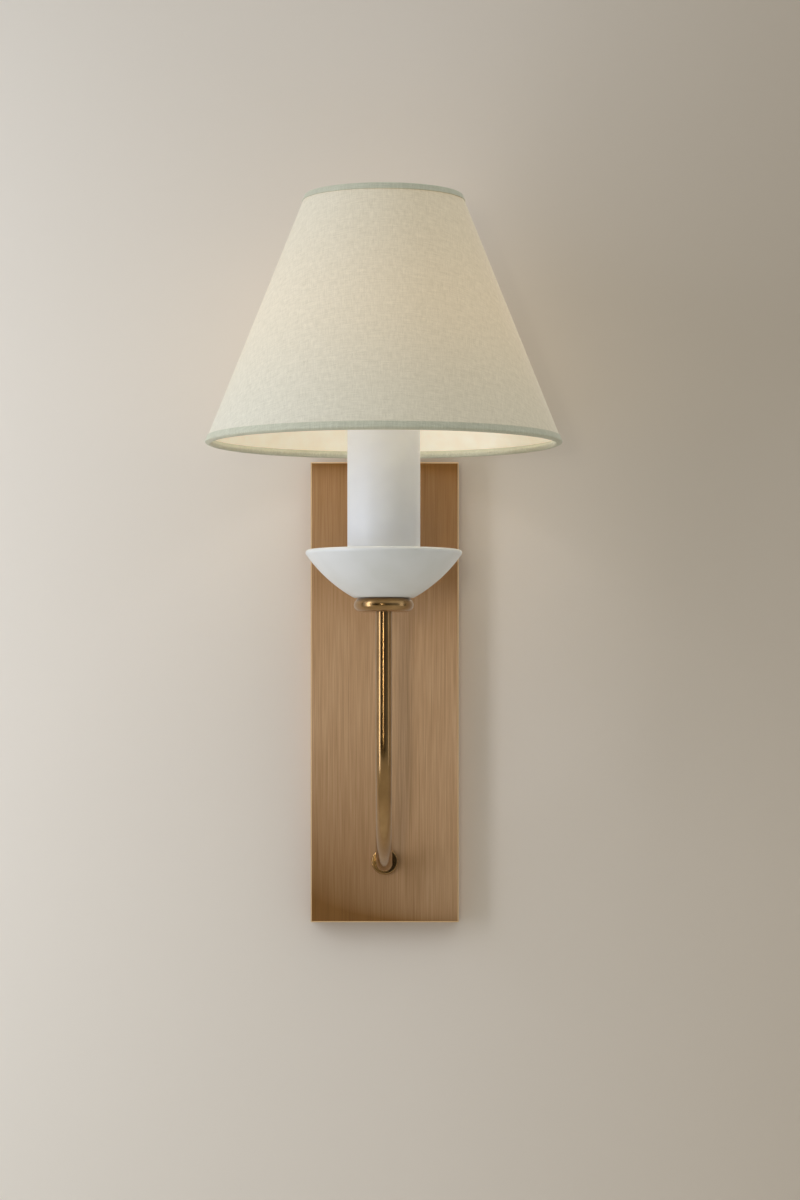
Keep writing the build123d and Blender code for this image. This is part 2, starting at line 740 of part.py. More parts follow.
def wire_connectors():
    """Three twist-on caps, mouths down, for the live, earth and neutral joints."""
    radius = connector_diameter / 2
    out = plate_inside / 2 + bracket_sheet / 2
    cone = Cone(radius, 0.6 * radius, connector_length, align=(Align.CENTER, Align.CENTER, Align.MIN))
    cone = fillet(cone.edges().group_by(Axis.Z)[-1], 0.3 * radius)
    caps = []
    for number, bore in ((-1, lead_diameter), (0, ground_lead_diameter), (1, lead_diameter)):
        hole = post(bore / 2 + thread_clearance, connector_mouth_depth + slip_clearance)
        caps.append(Pos(number * connector_spacing, -out, connector_mouth) * (cone - hole))
    return Compound(children=caps)


# --- The whole light ----------------------------------------------------------------------------

foot_nipple, foot_washer, foot_lock_washer, foot_nut, foot_pipe_end = foot_hardware()
cup_spacer, sleeve_disc, cup_nut = cup_clamp()
top_ring = wire_ring(True)
fitter = fitter_ring()
raw_arms = spider_arm_solids()
spider_arms = Compound(children=[arm - top_ring - fitter for arm in raw_arms])
top_trim = tape(True)
for arm in raw_arms:
    top_trim -= arm

parts = {
    "mounting_bracket": mounting_bracket(),
    "ground_screw": ground_screw(),
    "ground_lead": ground_lead(),
    "backplate": backplate(),
    "plate_screws": plate_screws(),
    "arm_collar": arm_collar(),
    "arm_tube": arm_tube(),
    "foot_nipple": foot_nipple,
    "foot_washer": foot_washer,
    "foot_lock_washer": foot_lock_washer,
    "foot_nut": foot_nut,
    "cup_seat_ring": cup_seat_ring(),
    "cup": cup(),
    "cup_spacer": cup_spacer,
    "sleeve_disc": sleeve_disc,
    "cup_nut": cup_nut,
    "riser_pipe": riser_pipe(),
    "candle_sleeve": candle_sleeve(),
    "sleeve_cap": sleeve_cap(),
    "socket_base": socket_base(),
    "socket_body": socket_body(),
    "socket_shell": socket_shell(),
    "centre_contact": centre_contact(),
    "contact_leaf": contact_leaf(),
    "terminal_screws": terminal_screws(),
    "shade_ring_nut": shade_ring_nut(),
    "live_lead": pan_lead(-1, foot_pipe_end),
    "neutral_lead": pan_lead(1, foot_pipe_end),
    "wire_connectors": wire_connectors(),
    "bulb_glass": bulb_glass(),
    "bulb_cap": bulb_cap(),
    "bulb_insulator": bulb_insulator(),
    "bulb_tip": bulb_tip(),
    "bulb_stem": bulb_stem(),
    "filament_wires": filament_wires(),
    "filaments": filaments(),
    "shade_fabric": skin(0, -fabric_thickness),
    "shade_lining": skin(-fabric_thickness, -skin_thickness),
    "top_trim": top_trim,
    "bottom_trim": tape(False),
    "top_ring": top_ring,
    "bottom_ring": wire_ring(False),
    "spider_arms": spider_arms,
    "fitter_ring": fitter,
}

os.makedirs("parts", exist_ok=True)
for name, part in parts.items():
    export_step(part, f"parts/{name}.step")
print(len(parts), "parts")
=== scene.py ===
# %% [markdown]
# # A fabric shade wall light
#
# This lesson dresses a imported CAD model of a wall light: a brushed brass backplate, a bent brass
# arm, a white cup with a white candle sleeve, and a cone of pale linen on a wire frame. The CAD
# model is loaded first and stays fixed. Every piece made here sits where a CAD node already is, so
# nothing has to be fitted by eye.

# %% Load the frame
import json
import math

import bmesh
import bpy
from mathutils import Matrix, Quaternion, Vector


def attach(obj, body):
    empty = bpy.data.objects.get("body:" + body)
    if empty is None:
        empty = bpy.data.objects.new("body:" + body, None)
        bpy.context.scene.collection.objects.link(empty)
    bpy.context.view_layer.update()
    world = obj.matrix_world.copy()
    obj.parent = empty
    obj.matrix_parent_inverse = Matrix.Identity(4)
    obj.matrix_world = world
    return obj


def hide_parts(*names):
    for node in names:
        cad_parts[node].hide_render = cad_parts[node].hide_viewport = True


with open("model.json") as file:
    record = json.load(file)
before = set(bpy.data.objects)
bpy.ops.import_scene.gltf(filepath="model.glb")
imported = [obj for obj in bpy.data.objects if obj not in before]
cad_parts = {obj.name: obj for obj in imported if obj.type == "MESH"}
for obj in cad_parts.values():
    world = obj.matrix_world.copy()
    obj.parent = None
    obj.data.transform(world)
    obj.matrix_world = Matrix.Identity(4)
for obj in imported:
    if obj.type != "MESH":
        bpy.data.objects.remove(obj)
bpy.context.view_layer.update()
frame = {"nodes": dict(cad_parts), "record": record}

# %% [markdown]
# ## Sizes
#
# Drawings of lights are in millimetres, and Blender works in metres. The sizes below are the real
# ones in millimetres, and one helper turns them into metres, so the numbers can be read beside a
# ruler. Everything round turns about two lines: the upright stem, and the arm's foot, which points
# straight out of the wall.

# %% Sizes in millimetres
MM = 0.001
STEM_OUT = 152.4
FOOT_HEIGHT = -137.6
PLATE = (120.65, 19.05, 374.65)
SHADE_LOW, SHADE_RISE_MM = 192.0, 190.4
SHADE_WIDE, SHADE_NARROW = 137.3, 60.5
FABRIC, LINING, TAPE, TAPE_WIDTH = 0.7, 0.5, 0.6, 4.8
STEM_AXIS = ((0.0, -STEM_OUT * MM, 0.0), (0.0, 0.0, 1.0))
FOOT_AXIS = ((0.0, 0.0, FOOT_HEIGHT * MM), (0.0, -1.0, 0.0))

SLANT = math.hypot(SHADE_WIDE - SHADE_NARROW, SHADE_RISE_MM)
LEAN = (SHADE_WIDE - SHADE_NARROW) / SLANT
RISE = SHADE_RISE_MM / SLANT
print(f"the shade's slant is {SLANT:.1f} mm and leans {math.degrees(math.asin(LEAN)):.1f} degrees")

# %% [markdown]
# ## Hands
#
# In Blender's window a maker clicks what the next tool acts on. A script has to say it. These
# helpers clear the selection, enter and leave edit mode, and pick faces or edges by where they are,
# so each tool acts on exactly what it should.

# %% Picking
def take(*pieces):
    """Leaves only these objects selected, the last one active."""
    bpy.ops.object.select_all(action="DESELECT")
    for piece in pieces:
        piece.select_set(True)
        bpy.context.view_layer.objects.active = piece


def pick(kind, wanted):
    """In edit mode, selects only the vertices, edges or faces that pass a test, and counts them."""
    bpy.ops.mesh.select_mode(type=kind)
    bpy.ops.mesh.select_all(action="DESELECT")
    mesh = bmesh.from_edit_mesh(bpy.context.object.data)
    groups = {"VERT": mesh.verts, "EDGE": mesh.edges, "FACE": mesh.faces}
    chosen = [item for item in groups[kind] if wanted(item)]
    for item in chosen:
        item.select_set(True)
    mesh.select_flush_mode()
    bmesh.update_edit_mesh(bpy.context.object.data)
    return len(chosen)


def edge_middle(edge):
    """The middle of an edge, in the object's own coordinates."""
    return (edge.verts[0].co + edge.verts[1].co) / 2


def settle(piece):
    """Moves an object's place, turn and size into its mesh."""
    take(piece)
    bpy.ops.object.transform_apply(location=True, rotation=True, scale=True)


def thicken(piece, thickness, offset=-1.0):
    """Gives a sheet a wall, in millimetres. An offset of -1 puts it behind the faces."""
    take(piece)
    wall = piece.modifiers.new("Wall", "SOLIDIFY")
    wall.thickness = thickness * MM
    wall.offset = offset
    wall.use_even_offset = True
    bpy.ops.object.modifier_apply(modifier=wall.name)


def drill(piece, shape, **size):
    """Cuts a cone or cylinder of the given size and place out of a piece."""
    bpy.ops.object.select_all(action="DESELECT")
    shape(**size)
    cutter = bpy.context.object
    take(piece)
    cut = piece.modifiers.new("Hole", "BOOLEAN")
    cut.object, cut.solver = cutter, "EXACT"
    bpy.ops.object.modifier_apply(modifier=cut.name)
    bpy.data.objects.remove(cutter, do_unlink=True)


def smooth(piece, degrees=38):
    """Shades a piece smooth, but keeps the edges that turn more sharply than this."""
    take(piece)
    bpy.ops.object.shade_smooth_by_angle(angle=math.radians(degrees))

# %% [markdown]
# ## A lathe
#
# Most of this light is turned or spun metal. On a lathe the shape is set by one profile, so the
# profile is all that has to be drawn: a point is extruded from corner to corner, and the line is
# then spun round the axis. Real corners are never perfectly sharp, so the profile's corners are
# eased by a small arc, which is also what lets an edge catch the light.

# %% Profiles
def eased(points, closed=True, parts=4):
    """Rounds the corners of a line of (radius, height, ease) points with short arcs."""
    line = []
    for number, (radius, height, *ease) in enumerate(points):
        corner = Vector((radius, height))
        last = number in (0, len(points) - 1)
        if not ease or not ease[0] or (last and not closed):
            line.append(corner)
            continue
        before = Vector(points[number - 1][:2]) - corner
        after = Vector(points[(number + 1) % len(points)][:2]) - corner
        half = before.angle(after) / 2
        reach = min(ease[0] / math.tan(half), 0.48 * before.length, 0.48 * after.length)
        start, end = before.normalized() * reach, after.normalized() * reach
        middle = (start + end).normalized() * (reach / math.cos(half))
        size = (start - middle).length
        for part in range(parts + 1):
            way = (start - middle).lerp(end - middle, part / parts).normalized()
            line.append(corner + middle + way * size)
    if closed:
        line.append(line[0])
    return line


def arc(centre, radius, first, last, parts):
    """Points on an arc between two angles in degrees, as (radius, height)."""
    turns = [math.radians(first + (last - first) * part / parts) for part in range(parts + 1)]
    return [(centre[0] + radius * math.cos(t), centre[1] + radius * math.sin(t)) for t in turns]


def spun(name, profile, axis=STEM_AXIS, steps=128, angle=360.0, start_angle=0.0):
    """Draws a profile point by point, spins it round an axis, and returns the new object."""
    centre, along = Vector(axis[0]), Vector(axis[1])
    side = Quaternion(along, math.radians(start_angle)) @ Vector((1.0, 0.0, 0.0))
    places = [centre + side * (p[0] * MM) + along * (p[1] * MM) for p in profile]
    bpy.ops.object.select_all(action="DESELECT")
    bpy.ops.mesh.primitive_plane_add(size=MM, location=places[0])
    piece = bpy.context.object
    piece.name = piece.data.name = name
    bpy.ops.object.mode_set(mode="EDIT")
    bpy.ops.mesh.select_mode(type="VERT")
    bpy.ops.mesh.select_all(action="SELECT")
    bpy.ops.mesh.merge(type="CENTER")
    for near, far in zip(places, places[1:]):
        bpy.ops.mesh.extrude_vertices_move(TRANSFORM_OT_translate={"value": far - near})
    bpy.ops.mesh.select_all(action="SELECT")
    bpy.ops.mesh.spin(steps=steps, angle=math.radians(angle), center=centre, axis=along)
    bpy.ops.mesh.select_all(action="SELECT")
    bpy.ops.mesh.remove_doubles(threshold=1e-6)
    bpy.ops.mesh.select_all(action="SELECT")
    bpy.ops.mesh.normals_make_consistent(inside=False)
    bpy.ops.object.mode_set(mode="OBJECT")
    settle(piece)
    return piece

# %% [markdown]
# ## Handing a piece over
#
# A finished piece gets its material, is told which moving body it rides on, and says which CAD
# nodes it stands for. One helper does this for every piece, and prints a line as a receipt.

# %% Dressing
def dress(piece, body, slot, material, *nodes):
    """Gives a piece its finish, its body and the CAD nodes it stands for."""
    piece.data.materials.clear()
    piece.data.materials.append(material)
    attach(piece, body)
    if nodes:
        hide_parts(*nodes)
    print(f"{piece.name}: {len(piece.data.polygons)} faces, rides on {body}")
    return piece

# %% [markdown]
# ## Mixing finishes
#
# A finish is built from nodes, never from a picture. Colours are written as a paint card gives
# them, from 0 to 255, and turned into light values. A few small helpers add a node, wire it and
# stretch a noise along the piece, because almost every finish needs uneven colour, uneven gloss
# and a fine relief.

# %% Finish helpers
def tone(red, green, blue):
    """A colour on a 0 to 255 card as the linear values that a shader reads."""
    def linear(part):
        part = part / 255
        return part / 12.92 if part <= 0.04045 else ((part + 0.055) / 1.055) ** 2.4
    return (linear(red), linear(green), linear(blue), 1.0)


def finish(name, colour, roughness, metallic=0.0, **plain):
    """A new material whose shader has its plain numbers set on its own sockets."""
    material = bpy.data.materials.new(name)
    material.use_nodes = True
    material.diffuse_color = colour
    shader = material.node_tree.nodes["Principled BSDF"]
    values = {"Base Color": colour, "Roughness": roughness, "Metallic": metallic}
    values.update({key.replace("_", " "): value for key, value in plain.items()})
    for key, value in values.items():
        shader.inputs[key].default_value = value
    return material


def add(material, kind, settings=None, **inputs):
    """Adds a node, sets its options and plain inputs, and wires any socket that it is given."""
    node = material.node_tree.nodes.new(kind)
    for key, value in (settings or {}).items():
        setattr(node, key, value)
    for key, value in inputs.items():
        numbered = key[0] == "n" and key[1:].isdigit()
        socket = node.inputs[int(key[1:]) if numbered else key.replace("_", " ")]
        if isinstance(value, bpy.types.NodeSocket):
            material.node_tree.links.new(value, socket)
        else:
            socket.default_value = value
    return node


def wire_up(material, source, target):
    """Joins a node's output to one of the shader's inputs."""
    shader = material.node_tree.nodes["Principled BSDF"]
    material.node_tree.links.new(source, shader.inputs[target])


def maths(material, operation, *values):
    """One Math node on numbers or sockets. Its result is the output."""
    node = material.node_tree.nodes.new("ShaderNodeMath")
    node.operation = operation
    for number, value in enumerate(values):
        if isinstance(value, bpy.types.NodeSocket):
            material.node_tree.links.new(value, node.inputs[number])
        else:
            node.inputs[number].default_value = value
    return node.outputs[0]


def place_on(material, kind="Object"):
    """Where a point is on the piece: in the object's own metres, or on its UV map."""
    return add(material, "ShaderNodeTexCoord").outputs[kind]


def grain(material, place, size, detail=3.0, seed=0.0):
    """Noise whose spots are this many millimetres long in x, y and z."""
    stretch = tuple(1 / (part * MM) for part in size)
    where = add(material, "ShaderNodeMapping", Vector=place, Location=(seed, seed, seed), Scale=stretch)
    noise = add(material, "ShaderNodeTexNoise", Vector=where.outputs[0], Scale=1.0, Detail=detail)
    return noise.outputs["Fac"]


def spread(material, value, low, high, start=0.3, end=0.7):
    """Maps a noise value onto a range of numbers."""
    node = add(material, "ShaderNodeMapRange", Value=value)
    for key, number in (("From Min", start), ("From Max", end), ("To Min", low), ("To Max", high)):
        node.inputs[key].default_value = number
    return node.outputs[0]


def blend_tones(material, factor, *stops):
    """A colour ramp: (place, colour) stops along a factor from 0 to 1."""
    ramp = add(material, "ShaderNodeValToRGB", Fac=factor)
    elements = ramp.color_ramp.elements
    while len(elements) < len(stops):
        elements.new(0.5)
    for element, (position, colour) in zip(elements, stops):
        element.position = position
        element.color = colour
    return ramp.outputs[0]


def relief(material, height, distance, strength=1.0):
    """Raises the surface by a height map, its depth in millimetres."""
    bump = add(material, "ShaderNodeBump", Height=height, Strength=strength, Distance=distance * MM)
    wire_up(material, bump.outputs[0], "Normal")

# %% [markdown]
# ## Brass
#
# Two brass finishes show. The plate is brushed up and down with an abrasive pad: long fine lines,
# which spread a highlight sideways, and a tone that is uneven from pad stroke to pad stroke. The
# tube, its collar and the ring are polished to satin and lacquered, so they show clear bright and
# dark stripes of the room.

# %% Brushed brass
brushed_brass = finish("brushed_brass", tone(190, 157, 118), 0.56, 0.6, Anisotropic=0.75)
here = place_on(brushed_brass)
strokes = grain(brushed_brass, here, (1.1, 1.1, 60.0), 4.0)
fine = grain(brushed_brass, here, (0.45, 0.45, 40.0), 2.0, seed=7.0)
patches = grain(brushed_brass, here, (14.0, 14.0, 60.0), 2.0, seed=3.0)
wear = maths(brushed_brass, "ADD", maths(brushed_brass, "MULTIPLY", strokes, 0.40),
             maths(brushed_brass, "MULTIPLY", patches, 0.16))
wear = maths(brushed_brass, "ADD", wear, maths(brushed_brass, "MULTIPLY", fine, 0.44))
brushed = blend_tones(brushed_brass, wear, (0.32, tone(179, 141, 99)), (0.5, tone(203, 163, 121)),
                      (0.68, tone(219, 182, 142)))
wire_up(brushed_brass, spread(brushed_brass, strokes, 0.50, 0.62), "Roughness")
relief(brushed_brass, maths(brushed_brass, "ADD", strokes, fine), 0.008, 0.4)
plate_lines = add(brushed_brass, "ShaderNodeTangent", {"direction_type": "UV_MAP"})
wire_up(brushed_brass, plate_lines.outputs[0], "Tangent")

# %% [markdown]
# The plate is darkened here with painted light. Above the middle it is a painted shadow of the
# sleeve and shade, heavier to the right, which grows from the plate's middle to halfway up its upper
# half. Below the middle it is a painted dark reflection of the room, which grows more slowly towards
# the lower left, and both ends take one quick step darker. It takes more blue than red away, which
# keeps dark brass warm. It has a limit, because too much of it would take more blue than the brass
# has, and turn the corners purple.

# %% Painted darkening of the plate
MOST_PAINTED_DARKENING = 0.58
HALF_WIDTH, HALF_HEIGHT = PLATE[0] * MM / 2, PLATE[2] * MM / 2
DARKENING_TAKES, BARE = (-1.0, -1.2, -1.5), (1.0, 1.0, 1.0)


def darkening(operation, *values):
    """One sum of the painted darkening, on the plate's own material."""
    return maths(brushed_brass, operation, *values)


position = add(brushed_brass, "ShaderNodeSeparateXYZ", Vector=here)
aside = darkening("MULTIPLY", position.outputs[0], 1 / HALF_WIDTH)
up = darkening("MULTIPLY", position.outputs[2], 1 / HALF_HEIGHT)
low, high = darkening("MAXIMUM", darkening("MULTIPLY", up, -1.0), 0.0), darkening("MAXIMUM", up, 0.0)
more_left, more_right = darkening("MULTIPLY_ADD", aside, -0.30, 0.37), darkening("MULTIPLY_ADD", aside, 0.30, 1.50)
below = darkening("MULTIPLY", darkening("POWER", low, 1.5), more_left)
above = darkening("MULTIPLY", darkening("POWER", darkening("MINIMUM", high, 0.5), 2.0), more_right)
ends = darkening("POWER", darkening("ADD", low, high), 25.0)
# Painted shadow above the middle, painted dark reflection below it and at both ends.
painted_darkening = darkening("MULTIPLY_ADD", ends, 0.30, darkening("ADD", below, above))
painted_darkening = darkening("MINIMUM", painted_darkening, MOST_PAINTED_DARKENING)
taken = add(brushed_brass, "ShaderNodeVectorMath", {"operation": "SCALE"}, n0=DARKENING_TAKES, Scale=painted_darkening)
left_over = add(brushed_brass, "ShaderNodeVectorMath", {"operation": "ADD"}, n0=taken.outputs[0], n1=BARE)
toned = add(brushed_brass, "ShaderNodeVectorMath", {"operation": "MULTIPLY"}, n0=brushed,
            n1=left_over.outputs[0])
wire_up(brushed_brass, toned.outputs[0], "Base Color")
print("brushed brass has", len(brushed_brass.node_tree.nodes), "nodes")

# %% [markdown]
# The plate's bevelled edge is the one place that hands and cloths keep rubbing, so it is smoother
# than the brushed face. Its lighter colour is partly that worn brass and partly a painted highlight
# of the bevel. It shows as a thin golden line all round.

# %% The plate's edges
edge_brass = finish("edge_brass", tone(236, 204, 158), 0.4, 0.85)
nicks = grain(edge_brass, place_on(edge_brass), (0.5, 0.5, 0.5), 2.0)
wire_up(edge_brass, blend_tones(
    edge_brass, nicks, (0.30, tone(229, 195, 147)), (0.5, tone(236, 204, 158)), (0.7, tone(241, 212, 169))),
    "Base Color")
wire_up(edge_brass, spread(edge_brass, nicks, 0.37, 0.44), "Roughness")
relief(edge_brass, nicks, 0.002, 0.3)

# %% [markdown]
# The satin brass of the tube is turned and rubbed along its length, then lacquered. The lacquer is
# the coat: a second, clear highlight over the coloured one of the metal.

# %% Satin brass
satin_brass = finish("satin_brass", tone(158, 120, 68), 0.22, 1.0, Coat_Weight=0.8, Coat_Roughness=0.15)
here = place_on(satin_brass)
cloudy = grain(satin_brass, here, (18.0, 18.0, 24.0), 3.0)
hairs = grain(satin_brass, here, (0.5, 0.5, 9.0), 3.0, seed=5.0)
wire_up(satin_brass, blend_tones(
    satin_brass, cloudy, (0.35, tone(147, 110, 59)), (0.5, tone(158, 120, 68)), (0.68, tone(170, 132, 80))),
    "Base Color")
wire_up(satin_brass, spread(satin_brass, hairs, 0.18, 0.27), "Roughness")
relief(satin_brass, hairs, 0.004, 0.4)
print("satin brass has", len(satin_brass.node_tree.nodes), "nodes")

# %% [markdown]
# ## White enamel
#
# The cup and the small white pieces over the sleeve are sprayed with a soft white enamel. Sprayed
# paint is never quite flat: it has a faint orange peel about a millimetre across, and is a touch
# warmer where it is thick.

# %% White enamel
white_metal = finish("white_metal", tone(233, 233, 230), 0.44, 0.0, Coat_Weight=0.2, Coat_Roughness=0.25)
here = place_on(white_metal)
film = grain(white_metal, here, (30.0, 30.0, 30.0), 2.0)
peel = grain(white_metal, here, (1.1, 1.1, 1.1), 1.5, seed=2.0)
wire_up(white_metal, blend_tones(
    white_metal, film, (0.35, tone(230, 230, 226)), (0.65, tone(236, 236, 234))), "Base Color")
wire_up(white_metal, spread(white_metal, peel, 0.33, 0.41), "Roughness")
relief(white_metal, peel, 0.012, 0.35)

# %% [markdown]
# The candle sleeve's paint has less gloss than the cup's. It is a touch cooler, a painted correction
# that cancels the warm light the lit lining throws on it. Its peel is drawn out along the tube.

# %% The sleeve's paint
sleeve_white = finish("sleeve_white", tone(233, 234, 236), 0.5, 0.0, Coat_Weight=0.1, Coat_Roughness=0.3)
here = place_on(sleeve_white)
film = grain(sleeve_white, here, (30.0, 30.0, 30.0), 2.0)
peel = grain(sleeve_white, here, (0.9, 0.9, 1.6), 1.5, seed=6.0)
wire_up(sleeve_white, blend_tones(
    sleeve_white, film, (0.35, tone(230, 231, 234)), (0.65, tone(236, 237, 238))), "Base Color")
wire_up(sleeve_white, spread(sleeve_white, peel, 0.46, 0.54), "Roughness")
relief(sleeve_white, peel, 0.010, 0.3)

# %% [markdown]
# ## Linen
#
# The shade is cut from one fan-shaped piece of linen. The threads run straight on the flat cloth,
# so the pattern is drawn on the piece's own flat layout, its UV map, which is in metres. The weave
# is a plain one: each thread is a rounded ridge, and a checker of over and under says which of the
# two shows. Every thread has its own tone, with a thicker slub here and there. The lamp's light
# through the cloth is painted on as a glow, most where the lamp hangs and through the gaps between
# the threads.

# %% The weave
def weave(material, pitch):
    """Relief, thread tone and gap of a plain weave whose threads are this many millimetres apart."""
    flat = place_on(material, "UV")
    drift = add(material, "ShaderNodeTexNoise", Vector=flat, Scale=90.0, Detail=2.0)
    sway = add(material, "ShaderNodeVectorMath", {"operation": "MULTIPLY"}, n0=drift.outputs["Color"],
               n1=(0.5 * pitch * MM,) * 3)
    bent = add(material, "ShaderNodeVectorMath", {"operation": "ADD"}, n0=flat, n1=sway.outputs[0])
    parts = add(material, "ShaderNodeSeparateXYZ", Vector=bent.outputs[0])
    turns = math.pi / (pitch * MM)
    warp = maths(material, "SINE", maths(material, "MULTIPLY", parts.outputs[0], turns))
    weft = maths(material, "SINE", maths(material, "MULTIPLY", parts.outputs[1], turns))
    over = maths(material, "MULTIPLY_ADD", maths(material, "MULTIPLY", warp, weft), 0.5, 0.5)
    warp_ridge, weft_ridge = maths(material, "ABSOLUTE", warp), maths(material, "ABSOLUTE", weft)

    def either(first, second):
        mix = add(material, "ShaderNodeMix", {"data_type": "FLOAT"}, n0=over, n2=second, n3=first)
        return mix.outputs[0]

    long_way = grain(material, bent.outputs[0], (pitch, 8.0, 1000.0), 2.0)
    cross_way = grain(material, bent.outputs[0], (11.0, pitch, 1000.0), 2.0, seed=9.0)
    height = either(warp_ridge, weft_ridge)
    threads = either(long_way, cross_way)
    gap = maths(material, "SUBTRACT", 1.0, maths(material, "MINIMUM", warp_ridge, weft_ridge))
    return height, threads, gap


GLOW_LOW, LAMP_LEVEL, GLOW_TOP = 0.190, 0.295, 0.385


def painted_lamp_glow(material, low, middle, high):
    """The painted glow of the lamp at each height: at the bottom, beside the lamp, at the top."""
    where = add(material, "ShaderNodeSeparateXYZ", Vector=place_on(material)).outputs[2]
    rise = add(material, "ShaderNodeMapRange", {"interpolation_type": "SMOOTHSTEP"}, Value=where)
    fall = add(material, "ShaderNodeMapRange", {"interpolation_type": "SMOOTHSTEP"}, Value=where)
    rising, falling = (GLOW_LOW, LAMP_LEVEL, low, middle), (LAMP_LEVEL, GLOW_TOP, 0.0, high - middle)
    for node, numbers in ((rise, rising), (fall, falling)):
        for key, number in zip(("From Min", "From Max", "To Min", "To Max"), numbers):
            node.inputs[key].default_value = number
    return maths(material, "ADD", rise.outputs[0], fall.outputs[0])

# %% [markdown]
# The linen is a pale sage. Threads and blots together choose the tone, and the same value makes the
# painted glow of the lamp a little stronger or weaker, so the cloth looks alike lit from either side.

# %% Linen outside
linen = finish("linen", tone(205, 209, 198), 0.9, 0.0, Emission_Strength=1.0, Sheen_Weight=0.1,
               Sheen_Roughness=0.5)
height, threads, gap = weave(linen, 0.95)
blots = grain(linen, place_on(linen, "UV"), (3.5, 3.5, 3.5), 3.0, seed=4.0)
shade_tone = maths(linen, "ADD", maths(linen, "MULTIPLY", threads, 0.7), maths(linen, "MULTIPLY", blots, 0.3))
wire_up(linen, blend_tones(
    linen, shade_tone, (0.3, tone(191, 195, 183)), (0.5, tone(205, 209, 198)), (0.7, tone(218, 222, 211))),
    "Base Color")
# The emission is the painted glow of the lamp through the cloth.
painted_glow_strength = maths(linen, "MULTIPLY", painted_lamp_glow(linen, 0.60, 1.0, 0.80), maths(
    linen, "MULTIPLY", spread(linen, shade_tone, 0.92, 1.08), spread(linen, gap, 0.96, 1.10, 0.0, 1.0)))
painted_glow_colour = add(linen, "ShaderNodeVectorMath", {"operation": "SCALE"}, n0=(0.225, 0.114, 0.020), Scale=painted_glow_strength)
wire_up(linen, painted_glow_colour.outputs[0], "Emission Color")
relief(linen, height, 0.10, 0.5)
print("linen has", len(linen.node_tree.nodes), "nodes")

# %% [markdown]
# The lining is a smooth cream film laminated to a thin cloth, and the tape is the shade's own linen
# folded double. The tape is darker than the cone, because the lamp can't shine through so many
# layers and the wire ring.

# %% Lining and tape
lining = finish("lining", tone(240, 235, 219), 0.62, 0.0, Emission_Strength=1.0)
film = grain(lining, place_on(lining, "UV"), (14.0, 14.0, 14.0), 3.0)
height, threads, gap = weave(lining, 0.8)
wire_up(lining, blend_tones(
    lining, film, (0.3, tone(236, 230, 212)), (0.7, tone(243, 239, 225))), "Base Color")
# The lining's emission is a painted glow of the lamp.
painted_glow_colour = add(lining, "ShaderNodeVectorMath", {"operation": "SCALE"}, n0=(0.20, 0.162, 0.112),
          Scale=painted_lamp_glow(lining, 0.9, 1.0, 0.9))
wire_up(lining, painted_glow_colour.outputs[0], "Emission Color")
relief(lining, height, 0.03, 0.4)

tape = finish("tape", tone(203, 201, 178), 0.9, 0.0, Sheen_Weight=0.1, Sheen_Roughness=0.5)
height, threads, gap = weave(tape, 0.95)
wire_up(tape, blend_tones(
    tape, threads, (0.3, tone(190, 189, 168)), (0.5, tone(203, 201, 178)), (0.7, tone(215, 214, 194))),
    "Base Color")
relief(tape, height, 0.12, 0.6)

# %% [markdown]
# ## Small finishes
#
# The pieces behind the plate and inside the sleeve are plain hardware. Each still gets a finish of
# its own, with uneven gloss, because they can all be seen from behind or from above.

# %% Hardware finishes
def hardware(name, colour, roughness, metallic, size, depth=0.01, **plain):
    """A plain finish with mottled colour, uneven gloss and a fine relief."""
    material = finish(name, colour, roughness, metallic, **plain)
    here = place_on(material)
    mottle = grain(material, here, (size, size, size), 4.0)
    dark = tuple(part * 0.8 for part in colour[:3]) + (1.0,)
    light = tuple(min(1.0, part * 1.12) for part in colour[:3]) + (1.0,)
    wire_up(material, blend_tones(material, mottle, (0.35, dark), (0.65, light)), "Base Color")
    wire_up(material, spread(material, mottle, roughness * 0.85, min(1.0, roughness * 1.2)), "Roughness")
    relief(material, mottle, depth, 0.5)
    return material


finishes = {
    "brushed_brass": brushed_brass, "satin_brass": satin_brass, "white_metal": white_metal,
    "linen": linen, "lining": lining, "tape": tape,
    "zinc_steel": hardware("zinc_steel", tone(178, 182, 184), 0.38, 1.0, 4.0),
    "green_steel": hardware("green_steel", tone(38, 120, 62), 0.36, 0.6, 2.0),
    "bright_brass": hardware("bright_brass", tone(214, 172, 96), 0.24, 1.0, 3.0),
    "copper": hardware("copper", tone(196, 112, 72), 0.30, 1.0, 2.0),
    "phenolic": hardware("phenolic", tone(226, 222, 212), 0.42, 0.0, 2.5),
    "black_wire": hardware("black_wire", tone(26, 26, 27), 0.48, 0.0, 3.0),
    "white_wire": hardware("white_wire", tone(224, 222, 215), 0.50, 0.0, 3.0),
    "connector": hardware("connector", tone(214, 150, 40), 0.46, 0.0, 3.0),
    "wire_white": hardware("wire_white", tone(226, 223, 214), 0.40, 0.0, 5.0),
    "black_glass": hardware("black_glass", tone(18, 18, 20), 0.12, 0.0, 2.0, 0.002),
    "nickel": hardware("nickel", tone(196, 192, 184), 0.26, 1.0, 2.0, 0.004),
}
print(len(finishes), "finishes so far")

# %% [markdown]
# Glass is clear, so its material is mostly a tinted see-through shader with a gloss on top. That is
# lighter to render than true refraction and looks the same on a wall this thin. The light strips
# in the lamp are the only pieces that shine by themselves.

